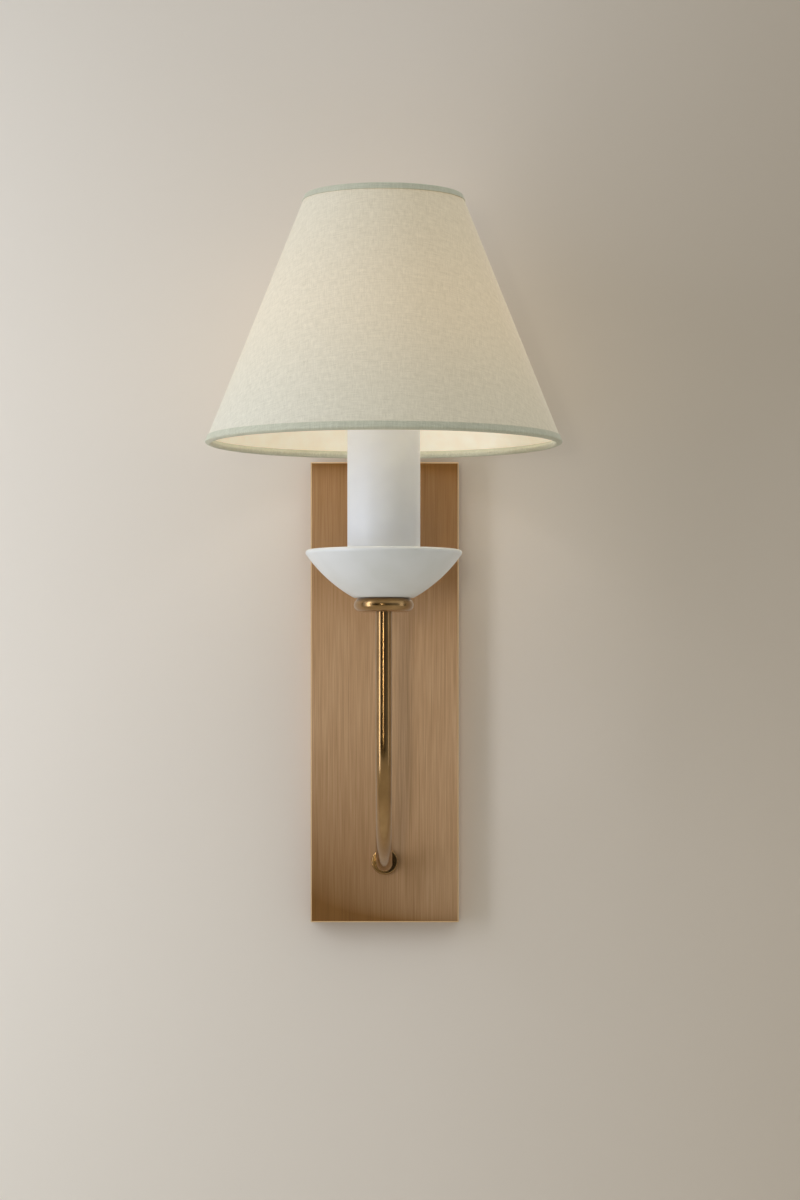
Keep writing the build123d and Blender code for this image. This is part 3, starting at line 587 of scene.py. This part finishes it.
# %% Glass and light strips
lamp_glass = finish("lamp_glass", tone(250, 246, 236), 0.05, 0.0, Alpha=0.22, IOR=1.5)
swirl = grain(lamp_glass, place_on(lamp_glass), (12.0, 12.0, 12.0), 2.0)
wire_up(lamp_glass, spread(lamp_glass, swirl, 0.03, 0.09), "Roughness")
clear_glass = finish("clear_glass", tone(244, 248, 246), 0.06, 0.0, Alpha=0.45, IOR=1.5)
swirl = grain(clear_glass, place_on(clear_glass), (5.0, 5.0, 5.0), 2.0)
wire_up(clear_glass, spread(clear_glass, swirl, 0.04, 0.12), "Roughness")
light_strip = finish("light_strip", tone(255, 214, 140), 0.6, 0.0, Emission_Strength=6.0)
beads = grain(light_strip, place_on(light_strip), (1.2, 1.2, 1.2), 1.0)
wire_up(light_strip, blend_tones(
    light_strip, beads, (0.35, tone(255, 196, 110)), (0.65, tone(255, 226, 168))), "Emission Color")
finishes.update(lamp_glass=lamp_glass, clear_glass=clear_glass, light_strip=light_strip)

# %% [markdown]
# ## Finishes for the CAD nodes
#
# Each CAD node has a slot in the record, so its finish can be looked up. The nodes that stay as
# they are, such as the bracket, nuts, leads and lamp cap, are dressed here in one loop.

# %% Dress the CAD nodes
for row in frame["record"]["subparts"]:
    node_object = frame["nodes"].get(row["node"])
    if node_object is None:
        continue
    for holder in node_object.material_slots:
        holder.material = finishes[row["material_slot"]]

# %% [markdown]
# ## Backplate
#
# The real plate is a shallow pan folded from brass sheet, open at the back. A cube gives its
# outside. Deleting the back face leaves the pan, a bevel eases the front edges the way a file
# does, and Solidify gives the sheet its thickness on the inside. The brushing follows a flat
# layout in metres, x across and z up.

# %% Model the backplate
PLATE_WALL, FRONT_BEVEL, CORNER_BEVEL, ARM_OPENING = 1.5, 0.9, 0.35, 5.3
SCREW_OUT, SINK_SMALL, SINK_WIDE, SINK_DEPTH = 6.5, 1.2, 3.1, 2.2
bpy.ops.object.select_all(action="DESELECT")
bpy.ops.mesh.primitive_cube_add(size=1.0, location=(0.0, -PLATE[1] * MM / 2, 0.0))
plate = bpy.context.object
plate.name = plate.data.name = "plate"
plate.scale = [part * MM for part in PLATE]
settle(plate)
bpy.ops.object.mode_set(mode="EDIT")
pick("FACE", lambda face: face.normal.y > 0.9)
bpy.ops.mesh.delete(type="FACE")
front = -PLATE[1] * MM
pick("EDGE", lambda edge: abs(edge_middle(edge).y - front) < 1e-6)
bpy.ops.mesh.bevel(offset=FRONT_BEVEL * MM, segments=1, affect="EDGES")
pick("EDGE", lambda edge: abs(edge.verts[0].co.y - edge.verts[1].co.y) > 10 * MM)
bpy.ops.mesh.bevel(offset=CORNER_BEVEL * MM, segments=2, profile=0.5, affect="EDGES")
bpy.ops.object.mode_set(mode="OBJECT")
thicken(plate, PLATE_WALL)
for end in (-1, 1):
    sink_place = (0.0, -SCREW_OUT * MM, end * (PLATE[2] - PLATE_WALL) / 2 * MM)
    drill(plate, bpy.ops.mesh.primitive_cone_add, vertices=64, radius1=SINK_SMALL * MM,
          radius2=SINK_WIDE * MM, depth=SINK_DEPTH * MM, location=sink_place,
          rotation=(math.pi * (end < 0), 0.0, 0.0))
drill(plate, bpy.ops.mesh.primitive_cylinder_add, vertices=64, radius=ARM_OPENING * MM, depth=6 * MM,
      location=(0.0, front, FOOT_HEIGHT * MM), rotation=(math.pi / 2, 0.0, 0.0))
layout = plate.data.uv_layers.active or plate.data.uv_layers.new(name="UVMap")
for corner in plate.data.loops:
    spot = plate.data.vertices[corner.vertex_index].co
    layout.data[corner.index].uv = (spot.x, spot.z)
smooth(plate, 30)
dress(plate, "root", "brushed_brass", brushed_brass, "backplate")
plate.data.materials.append(edge_brass)
for face in plate.data.polygons:
    face.material_index = int(-0.95 < face.normal.y < -0.4)

# %% [markdown]
# ## Arm
#
# The arm is one tube: straight out of the plate, round a wide bend, straight up. It is made as a
# bender makes it. A circle at the foot is extruded for the straight run, spun a quarter turn
# about the bend's centre, and extruded again up into the ring.

# %% Bend the arm
ARM_RADIUS, ARM_WALL, BEND, ARM_TOP = 6.35, 1.2, 101.6, 64.3
bpy.ops.object.select_all(action="DESELECT")
bpy.ops.mesh.primitive_circle_add(
    vertices=64, radius=ARM_RADIUS * MM, location=(0.0, front, FOOT_HEIGHT * MM),
    rotation=(math.pi / 2, 0.0, 0.0))
arm = bpy.context.object
arm.name = arm.data.name = "arm"
settle(arm)
bpy.ops.object.mode_set(mode="EDIT")
bpy.ops.mesh.select_all(action="SELECT")
run = STEM_OUT - BEND - PLATE[1]
bpy.ops.mesh.extrude_region_move(TRANSFORM_OT_translate={"value": (0.0, -run * MM, 0.0)})
turn_centre = (0.0, -(STEM_OUT - BEND) * MM, (FOOT_HEIGHT + BEND) * MM)
bpy.ops.mesh.spin(steps=48, angle=math.pi / 2, center=turn_centre, axis=(1.0, 0.0, 0.0))
bpy.ops.mesh.extrude_region_move(
    TRANSFORM_OT_translate={"value": (0.0, 0.0, (ARM_TOP - FOOT_HEIGHT - BEND) * MM)})
bpy.ops.mesh.select_all(action="SELECT")
bpy.ops.mesh.remove_doubles(threshold=1e-6)
bpy.ops.mesh.select_all(action="SELECT")
bpy.ops.mesh.normals_make_consistent(inside=False)
bpy.ops.object.mode_set(mode="OBJECT")
thicken(arm, ARM_WALL)
smooth(arm, 45)
dress(arm, "root", "satin_brass", satin_brass, "arm_tube")

# %% [markdown]
# ## Collar and ring
#
# A small collar hides the hole where the arm leaves the plate, and a thick ring with a fully
# rounded edge carries the cup. Both are lathe work, the collar about the arm's foot and the ring
# about the stem.

# %% Turn the collar and the ring
COLLAR_RADIUS, COLLAR_TALL, COLLAR_ROUND, ROUND_ARM = 10.795, 2.38, 1.1, 6.4
collar_low = PLATE[1] + 0.02
collar_top = collar_low + COLLAR_TALL
collar = spun("collar", eased([
    (ROUND_ARM, collar_low), (COLLAR_RADIUS, collar_low, 0.15),
    (COLLAR_RADIUS, collar_top, COLLAR_ROUND), (ROUND_ARM, collar_top, 0.3)], parts=8), FOOT_AXIS, 96)
smooth(collar)
dress(collar, "root", "satin_brass", satin_brass, "arm_collar")

RING_LOW, RING_TALL, RING_RADIUS = 61.3, 11.1, 23.2
half_ring = RING_TALL / 2
ring_middle = (RING_RADIUS - half_ring, RING_LOW + half_ring)
ring_edge = arc(ring_middle, half_ring, -90, 90, 24)
ring_back = [(ROUND_ARM, RING_LOW + RING_TALL), (ROUND_ARM, RING_LOW)]
seat = spun("cup_ring", [(ROUND_ARM, RING_LOW)] + ring_edge + ring_back, steps=128)
smooth(seat)
dress(seat, "root", "satin_brass", satin_brass, "cup_seat_ring")

# %% [markdown]
# ## Cup
#
# The cup is spun from sheet over a former: a flat foot, a wall on one long arc, and a lip rolled
# inwards into a bead that stays flush with the outside. The profile goes out along the foot, up the
# outside, round the bead, and back down the inside to the middle. The foot's corner stays crisp, as
# it is in the photograph.

# %% Spin the cup
CUP_LOW, CUP_WALL, CUP_HOLE, BEAD, BOWL = 72.4, 1.6, 5.3, 2.3, 112.0
bead_middle = Vector((58.025, 107.0))
foot_corner = Vector((21.5, CUP_LOW))
outer, inner = BOWL + CUP_WALL / 2, BOWL - CUP_WALL / 2
chord = bead_middle - foot_corner
along = (BOWL ** 2 - (outer - BEAD) ** 2 + chord.length ** 2) / (2 * chord.length)
inward = Vector((-chord.y, chord.x)).normalized()
bowl_middle = foot_corner + chord.normalized() * along + inward * math.sqrt(BOWL ** 2 - along ** 2)


def bowl_angle(height, radius):
    """Angle in degrees at which the bowl's arc passes a height."""
    return math.degrees(math.asin((height - bowl_middle.y) / radius))


reach = bead_middle - bowl_middle
lip_angle = math.degrees(math.atan2(reach.y, reach.x))
crossing = math.degrees(math.acos((reach.length ** 2 + inner ** 2 - BEAD ** 2) / (2 * reach.length * inner)))
outside = arc(bowl_middle, outer, bowl_angle(CUP_LOW, outer), lip_angle, 40)
inside = arc(bowl_middle, inner, lip_angle - crossing, bowl_angle(CUP_LOW + CUP_WALL, inner), 40)
back = Vector(inside[0]) - bead_middle
bead = arc(bead_middle, BEAD, lip_angle, math.degrees(math.atan2(back.y, back.x)) % 360, 24)[1:-1]
cup = spun("cup_bowl", [(CUP_HOLE, CUP_LOW + CUP_WALL), (CUP_HOLE, CUP_LOW)] + outside + bead + inside
           + [(CUP_HOLE, CUP_LOW + CUP_WALL)], steps=160)
smooth(cup, 32)
dress(cup, "root", "white_metal", white_metal, "cup")

# %% [markdown]
# ## Candle sleeve and lampholder
#
# The sleeve is a plain drawn tube that stands in the cup, with a lid near its top that the
# lampholder comes through. On the lampholder's collar a ring nut, milled round its edge so that
# fingers can grip it, holds down the shade's fitter.

# %% Turn the sleeve, its lid and the lampholder
SLEEVE_RADIUS, SLEEVE_WALL, SLEEVE_TOP = 28.1, 1.6, 241.0
sleeve_low = bowl_middle.y - math.sqrt(inner ** 2 - (SLEEVE_RADIUS - bowl_middle.x) ** 2) + 0.05
bore = SLEEVE_RADIUS - SLEEVE_WALL
sleeve = spun("sleeve", eased([
    (bore, sleeve_low, 0.2), (SLEEVE_RADIUS, sleeve_low, 0.2), (SLEEVE_RADIUS, SLEEVE_TOP, 0.3),
    (bore, SLEEVE_TOP, 0.3)], parts=3), steps=128)
smooth(sleeve)
dress(sleeve, "root", "white_metal", sleeve_white, "candle_sleeve")

LID_SHEET, LID_SKIRT, LID_HOLE, SLIP = 1.5, 5.0, 20.0, 0.15
lid_top, skirt_low = SLEEVE_TOP + LID_SHEET, SLEEVE_TOP - LID_SKIRT
skirt_out = bore - SLIP
skirt_in = skirt_out - LID_SHEET
lid = spun("sleeve_lid", eased([
    (LID_HOLE, SLEEVE_TOP, 0.2), (skirt_in, SLEEVE_TOP), (skirt_in, skirt_low, 0.2),
    (skirt_out, skirt_low, 0.2), (skirt_out, SLEEVE_TOP), (SLEEVE_RADIUS, SLEEVE_TOP, 0.2),
    (SLEEVE_RADIUS, lid_top, 0.7), (LID_HOLE, lid_top, 0.3)], parts=4), steps=128)
smooth(lid)
dress(lid, "root", "white_metal", white_metal, "sleeve_cap")

HOLDER_RADIUS, HOLDER_LOW, HOLDER_TOP, HOLDER_WELL = 19.8, 224.5, 267.5, 14.3
FLOOR_LOW, FLOOR_TOP, BASE_SEAT, CONTACT_HOLE = 228.7, 234.5, 16.8, 2.55
lampholder = spun("lampholder", eased([
    (BASE_SEAT, HOLDER_LOW), (HOLDER_RADIUS, HOLDER_LOW, 0.4), (HOLDER_RADIUS, HOLDER_TOP, 0.8),
    (HOLDER_WELL, HOLDER_TOP, 0.5), (HOLDER_WELL, FLOOR_TOP, 0.2), (CONTACT_HOLE, FLOOR_TOP),
    (CONTACT_HOLE, FLOOR_LOW), (BASE_SEAT, FLOOR_LOW, 0.3)], parts=4), steps=96)
smooth(lampholder)
dress(lampholder, "root", "phenolic", finishes["phenolic"], "socket_body")

# %% [markdown]
# The ring nut is turned like the rest. Its grip is cut in edit mode: every second face round the
# rim is picked by its place and pushed in.

# %% Mill the ring nut
NUT_BORE, NUT_RADIUS, NUT_LOW, NUT_TOP = 19.85, 23.85, 244.6, 249.1
GROOVE_PITCH, GROOVE_EDGE, GROOVE_DEPTH = 5.0, 0.12, 0.3
nut = spun("ring_nut", eased([
    (NUT_BORE, NUT_LOW, 0.2), (NUT_RADIUS, NUT_LOW, 0.5), (NUT_RADIUS, NUT_TOP, 0.5),
    (NUT_BORE, NUT_TOP, 0.3)], parts=2), steps=144)
bpy.ops.object.mode_set(mode="EDIT")


def is_rim(face):
    """The upright faces on the nut's outside."""
    spot = face.calc_center_median()
    return math.hypot(spot.x, spot.y + STEM_OUT * MM) > (NUT_RADIUS - 0.35) * MM and abs(face.normal.z) < 0.3


def is_groove(face):
    """Every other upright face on the nut's outside."""
    spot = face.calc_center_median()
    turn = math.degrees(math.atan2(spot.x, spot.y + STEM_OUT * MM)) % GROOVE_PITCH
    return is_rim(face) and turn < GROOVE_PITCH / 2


pick("FACE", is_groove)
bpy.ops.mesh.inset(thickness=GROOVE_EDGE * MM, depth=-GROOVE_DEPTH * MM, use_individual=True)
bpy.ops.object.mode_set(mode="OBJECT")
smooth(nut, 30)
dress(nut, "root", "white_metal", white_metal, "shade_ring_nut")

# %% [markdown]
# ## Lamp glass
#
# The lamp is a globe: a ball that runs down a short cone into the neck in the screw cap. The cone
# touches the ball where its line is tangent, which one right triangle gives.

# %% Blow the lamp's glass
BALL, BALL_HEIGHT, NECK, NECK_TOP, GLASS_LOW = 24.0, 302.8, 11.75, 272.4, 246.4
reach = math.hypot(NECK, BALL_HEIGHT - NECK_TOP)
touch = math.degrees(math.atan2(NECK_TOP - BALL_HEIGHT, NECK) + math.acos(BALL / reach))
glass = spun("lamp_globe", [(0.0, GLASS_LOW), (NECK, GLASS_LOW), (NECK, NECK_TOP)]
             + arc((0.0, BALL_HEIGHT), BALL, touch, 90, 32), steps=96)
smooth(glass, 40)
dress(glass, "bulb", "lamp_glass", lamp_glass, "bulb_glass")

# %% [markdown]
# ## Shade
#
# A cone unrolls into a flat fan, so the cloth's own layout can be worked out exactly: a point's
# distance from the cone's tip stays the same, and its angle shrinks by the lean. That layout
# becomes the UV map, and the weave then runs as it does on cloth that was cut flat: straight at
# the front, and slowly slanting towards the seam at the back.

# %% Cloth layout
def on_cone(up, out):
    """The radius and height of a point that far up the slant and that far out of the cone's face."""
    return (SHADE_WIDE - up * LEAN + out * RISE, SHADE_LOW + up * RISE + out * LEAN)


def lay_flat(piece):
    """Gives a piece on the cone the flat layout of its cloth, in metres."""
    mesh = piece.data
    layout = mesh.uv_layers.active or mesh.uv_layers.new(name="UVMap")
    for face in mesh.polygons:
        middle = face.center
        face_turn = math.atan2(middle.x, -(middle.y + STEM_OUT * MM))
        for corner in face.loop_indices:
            spot = mesh.vertices[mesh.loops[corner].vertex_index].co
            turn = math.atan2(spot.x, -(spot.y + STEM_OUT * MM))
            turn += 2 * math.pi * round((face_turn - turn) / (2 * math.pi))
            slant = math.hypot(spot.x, spot.y + STEM_OUT * MM) / LEAN
            layout.data[corner].uv = (slant * math.sin(turn * LEAN), -slant * math.cos(turn * LEAN))

# %% [markdown]
# The cone is rolled from the fan, which overlaps itself by a few degrees at the back, where the lap
# is glued. The liner is the same fan, laminated to the inside.

# %% Roll the cone
ROWS, COLUMNS, GLUE = 36, 240, 0.01
LAP_ANGLE, LAP_OUT, LAP_THICKNESS = 4.0, 0.35, 0.45
skin_line = [on_cone(SLANT * row / ROWS, 0.0) for row in range(ROWS + 1)]
cloth = spun("shade_linen", skin_line, steps=COLUMNS, start_angle=90)
thicken(cloth, FABRIC)
lap_line = [on_cone(SLANT * row / ROWS, LAP_OUT) for row in range(ROWS + 1)]
lap = spun("lap", lap_line, steps=4, angle=LAP_ANGLE, start_angle=90)
thicken(lap, LAP_THICKNESS, 0.0)
take(lap, cloth)
bpy.ops.object.join()
lay_flat(cloth)
smooth(cloth, 50)
dress(cloth, "shade", "linen", linen, "shade_fabric")

lining_line = [on_cone(SLANT * row / ROWS, -FABRIC - GLUE) for row in range(ROWS + 1)]
liner = spun("shade_liner", lining_line, steps=COLUMNS, start_angle=90)
thicken(liner, LINING - 2 * GLUE)
lay_flat(liner)
smooth(liner, 50)
dress(liner, "shade", "lining", lining, "shade_lining")

# %% [markdown]
# ## Tapes
#
# The raw edges are bound with a strip of the same linen, turned over the wire ring: it lies flat
# on the outside, rolls round the wire and lies flat again on the lining. The profile is drawn at
# the middle of the cloth's thickness, and Solidify gives it both faces.

# %% Fold the tapes
def folded(name, at_top, width, node):
    """A strip of cloth turned over one end of the cone, round the wire in it."""
    half = TAPE / 2
    skin = FABRIC + LINING
    hem = 1.5
    end, into = (SLANT, -1) if at_top else (0.0, 1)
    turn_in = eased([
        (width, half), (-half, half, 1.0), (-half, -skin - 2 * hem - half, 1.9),
        (2 * hem + half, -skin - 2 * hem - half, 1.5), (2 * hem + 1.6, -skin - half - 0.02, 1.5),
        (width, -skin - half - 0.02)], closed=False, parts=8)
    line = [on_cone(end + into * up, out) for up, out in turn_in]
    strip = spun(name, line, steps=COLUMNS, start_angle=90)
    thicken(strip, TAPE - 0.04, 0.0)
    lay_flat(strip)
    smooth(strip, 50)
    dress(strip, "shade", "tape", tape, node)
    return strip


folded("bottom_tape", False, TAPE_WIDTH, "bottom_trim")
folded("top_tape", True, TAPE_WIDTH, "top_trim")

# %% [markdown]
# ## Wire frame
#
# Three bent wires run from the top ring down to a flat ring, the fitter, which drops over the
# lampholder. A wire is easiest as a curve with a round bevel. The curve is drawn once, made a
# mesh, and copied twice with a third of a turn between.

# %% Bend the spider
WIRE_RADIUS, SHOULDER, SHOULDER_DROP, WIRE_BEND = 1.25, 11.0, 3.0, 6.0
FOOT_BEND, FOOT_END = 252.3, 244.4
FITTER_BORE, FITTER_WIDTH, FITTER_LOW, FITTER_TOP = 20.1, 7.6, 242.8, 244.3
fitter_edge = FITTER_BORE + FITTER_WIDTH
top_spot = on_cone(SLANT - 1.5, -FABRIC - LINING - 1.5)
foot_radius = fitter_edge - WIRE_RADIUS
bent = eased([
    (top_spot[0] - 1.0, top_spot[1]), (top_spot[0] - SHOULDER, top_spot[1] - SHOULDER_DROP, WIRE_BEND),
    (foot_radius, FOOT_BEND, WIRE_BEND), (foot_radius, FOOT_END)], closed=False, parts=10)
curve = bpy.data.curves.new("spider", "CURVE")
curve.dimensions = "3D"
curve.bevel_depth = WIRE_RADIUS * MM
curve.bevel_resolution = 6
curve.use_fill_caps = True
line = curve.splines.new("POLY")
line.points.add(len(bent) - 1)
for point, (radius, height) in zip(line.points, bent):
    point.co = (0.0, (radius - STEM_OUT) * MM, height * MM, 1.0)
first_arm = bpy.data.objects.new("spider_arm", curve)
bpy.context.collection.objects.link(first_arm)
take(first_arm)
bpy.ops.object.convert(target="MESH")
spider = [bpy.context.object]
for number in (1, 2):
    take(spider[0])
    bpy.ops.object.duplicate()
    copy = bpy.context.object
    bpy.ops.object.mode_set(mode="EDIT")
    bpy.ops.mesh.select_all(action="SELECT")
    bpy.ops.transform.rotate(value=math.radians(120 * number), orient_axis="Z", center_override=STEM_AXIS[0])
    bpy.ops.object.mode_set(mode="OBJECT")
    spider.append(copy)
take(*spider[::-1])
bpy.ops.object.join()
spider = bpy.context.object
spider.name = spider.data.name = "spider"
smooth(spider, 50)
dress(spider, "shade", "wire_white", finishes["wire_white"], "spider_arms")

fitter = spun("fitter", eased([
    (FITTER_BORE, FITTER_LOW, 0.2), (fitter_edge, FITTER_LOW, 0.4), (fitter_edge, FITTER_TOP, 0.5),
    (FITTER_BORE, FITTER_TOP, 0.3)], parts=3), steps=96)
smooth(fitter)
dress(fitter, "shade", "wire_white", finishes["wire_white"], "fitter_ring")

# %% [markdown]
# ## Wall and floor
#
# The light hangs on a painted wall, with a pale floor well below it. The wall's paint carries a
# painted falloff of the windows' light, lighter on the left and darker on the right. The wall shows
# only its room side: from behind it is clear, so the back of the light can be looked at, and it
# lets the lamp behind it through for the same reason.

# %% Build the stage
wall_paint = finish("wall_paint", tone(230, 219, 205), 0.85)
# Painted light: the paint is lighter on the left and darker on the right, as the windows' light falls off.
across = add(wall_paint, "ShaderNodeSeparateXYZ", Vector=place_on(wall_paint)).outputs[0]
wire_up(wall_paint, blend_tones(
    wall_paint, spread(wall_paint, across, 0.0, 1.0, -0.32, 0.36), (0.0, tone(239, 229, 216)),
    (0.5, tone(231, 219, 205)), (1.0, tone(215, 201, 184))), "Base Color")
stipple = grain(wall_paint, place_on(wall_paint), (1.5, 1.5, 1.5), 3.0)
relief(wall_paint, stipple, 0.05, 0.3)
clear = add(wall_paint, "ShaderNodeBsdfTransparent")
side = add(wall_paint, "ShaderNodeNewGeometry").outputs["Backfacing"]
passing = add(wall_paint, "ShaderNodeLightPath").outputs["Is Shadow Ray"]
see_through = maths(wall_paint, "MAXIMUM", side, passing)
choose = add(wall_paint, "ShaderNodeMixShader", Fac=see_through,
             n1=wall_paint.node_tree.nodes["Principled BSDF"].outputs[0], n2=clear.outputs[0])
wall_paint.node_tree.links.new(choose.outputs[0], wall_paint.node_tree.nodes["Material Output"].inputs[0])

bpy.ops.object.select_all(action="DESELECT")
bpy.ops.mesh.primitive_plane_add(size=1.0, location=(0.0, 0.0006, 0.4), rotation=(math.pi / 2, 0.0, 0.0))
wall = bpy.context.object
wall.name = "wall"
wall.scale = (8.0, 3.2, 1.0)
settle(wall)
wall.data.materials.append(wall_paint)
bpy.ops.object.select_all(action="DESELECT")
bpy.ops.mesh.primitive_plane_add(size=1.0, location=(0.0, 0.0, -1.2))
floor = bpy.context.object
floor.name = "floor"
floor.scale = (8.0, 8.0, 1.0)
settle(floor)
floor_paint = finish("floor_paint", tone(212, 208, 200), 0.8)
screed = grain(floor_paint, place_on(floor_paint), (300.0, 300.0, 300.0), 2.0)
wire_up(floor_paint, blend_tones(
    floor_paint, screed, (0.3, tone(209, 205, 197)), (0.7, tone(214, 210, 203))), "Base Color")
floor.data.materials.append(floor_paint)

# %% [markdown]
# ## Light
#
# The room is lit from the left by windows, one of them narrow, which draws the bright stripe on the
# tube. A small lamp far in front gives soft shadows, and the room's right wall sends some light
# back. One light stands behind the wall, so that the back of the plate can be looked at. The lamp
# in the shade is a weak and nearly white point: the warmth of the shade is a glow painted on the
# linen and lining as emission.

# %% Hang the lamps
def softbox(name, place, aim, size, power, colour):
    """A rectangular lamp that faces a point."""
    lamp = bpy.data.lights.new(name, "AREA")
    lamp.shape, lamp.size, lamp.size_y = "RECTANGLE", size[0], size[1]
    lamp.energy, lamp.color = power, colour
    holder = bpy.data.objects.new(name, lamp)
    holder.location = place
    holder.rotation_euler = (Vector(aim) - Vector(place)).to_track_quat("-Z", "Y").to_euler()
    holder.visible_camera = False
    bpy.context.collection.objects.link(holder)
    return holder


softbox("near_window", (-0.95, -0.55, 0.15), (-0.1, -0.1, 0.05), (0.8, 1.3), 1.6, (0.84, 1.0, 1.36))
softbox("window_strip", (-0.85, -0.62, 0.1), (0.0, -0.15, 0.0), (0.22, 1.1), 3.2, (0.95, 1.0, 1.10))
softbox("window", (-1.9, -0.95, 0.35), (0.0, -0.1, 0.05), (1.2, 1.6), 2.0, (1.0, 1.0, 0.98))
softbox("window_front", (-1.9, -1.9, 0.7), (0.0, -0.1, 0.0), (1.2, 1.2), 0.9, (1.0, 0.98, 0.94))
softbox("front", (-0.36, -3.2, 0.15), (0.0, 0.0, 0.0), (0.18, 0.4), 5.4, (1.0, 0.93, 0.76))
softbox("right_wall", (1.9, -0.75, 0.1), (0.0, -0.1, 0.0), (0.6, 1.4), 2.0, (0.97, 1.0, 1.05))
softbox("behind", (0.6, 1.8, 0.5), (0.0, 0.0, 0.0), (1.2, 1.2), 14.0, (1.0, 0.98, 0.95))

lamp = bpy.data.lights.new("lamp", "POINT")
lamp.energy, lamp.color, lamp.shadow_soft_size = 0.17, (0.9, 0.98, 1.15), 0.02
lamp_place = bpy.data.objects.new("lamp", lamp)
lamp_place.location = (0.0, -STEM_OUT * MM, BALL_HEIGHT * MM)
lamp_place.visible_camera = False
bpy.context.collection.objects.link(lamp_place)

# %% [markdown]
# The rest of the room is a pale ceiling and a wall further off on the right. They are painted on
# the world's directions: bright upwards, a little bright to the right, and dark below and in front.

# %% Paint the room's light
world = bpy.data.worlds.new("room")
bpy.context.scene.world = world
world.use_nodes = True
sky = world.node_tree.nodes["Background"]
direction = world.node_tree.nodes.new("ShaderNodeTexCoord")
split = world.node_tree.nodes.new("ShaderNodeSeparateXYZ")
world.node_tree.links.new(direction.outputs["Generated"], split.inputs[0])


def world_range(source, *numbers):
    """Maps one part of the direction onto a range of brightness."""
    node = world.node_tree.nodes.new("ShaderNodeMapRange")
    node.interpolation_type = "SMOOTHSTEP"
    world.node_tree.links.new(source, node.inputs[0])
    for key, number in zip(("From Min", "From Max", "To Min", "To Max"), numbers):
        node.inputs[key].default_value = number
    return node.outputs[0]


def world_sum(first, second):
    """Adds two brightnesses."""
    node = world.node_tree.nodes.new("ShaderNodeMath")
    world.node_tree.links.new(first, node.inputs[0])
    world.node_tree.links.new(second, node.inputs[1])
    return node.outputs[0]


upwards = world_range(split.outputs[2], 0.1, 0.8, 0.0, 0.86)
sideways = world_range(split.outputs[0], -0.2, 0.9, 0.0, 0.2)
level = world_sum(upwards, sideways)
tint = world.node_tree.nodes.new("ShaderNodeVectorMath")
tint.operation = "SCALE"
tint.inputs[0].default_value = (0.95, 1.0, 1.0)
world.node_tree.links.new(level, tint.inputs["Scale"])
world.node_tree.links.new(tint.outputs[0], sky.inputs["Color"])
sky.inputs["Strength"].default_value = 1.0

# %% [markdown]
# ## Camera
#
# The photograph was taken from well back and a little below the middle of the plate, looking level
# at the wall, with the lens shifted up. A long lens keeps the lines nearly parallel.

# %% Set up the camera
lens = bpy.data.cameras.new("camera")
lens.sensor_fit, lens.sensor_width, lens.lens = "AUTO", 36.0, 92.6
lens.shift_y = 0.0857
camera = bpy.data.objects.new("camera", lens)
camera.location = (0.0125, -2.533, -0.0086)
camera.rotation_euler = (math.pi / 2, 0.0, 0.0)
bpy.context.collection.objects.link(camera)
bpy.context.scene.camera = camera
bpy.context.scene.view_settings.view_transform = "Standard"
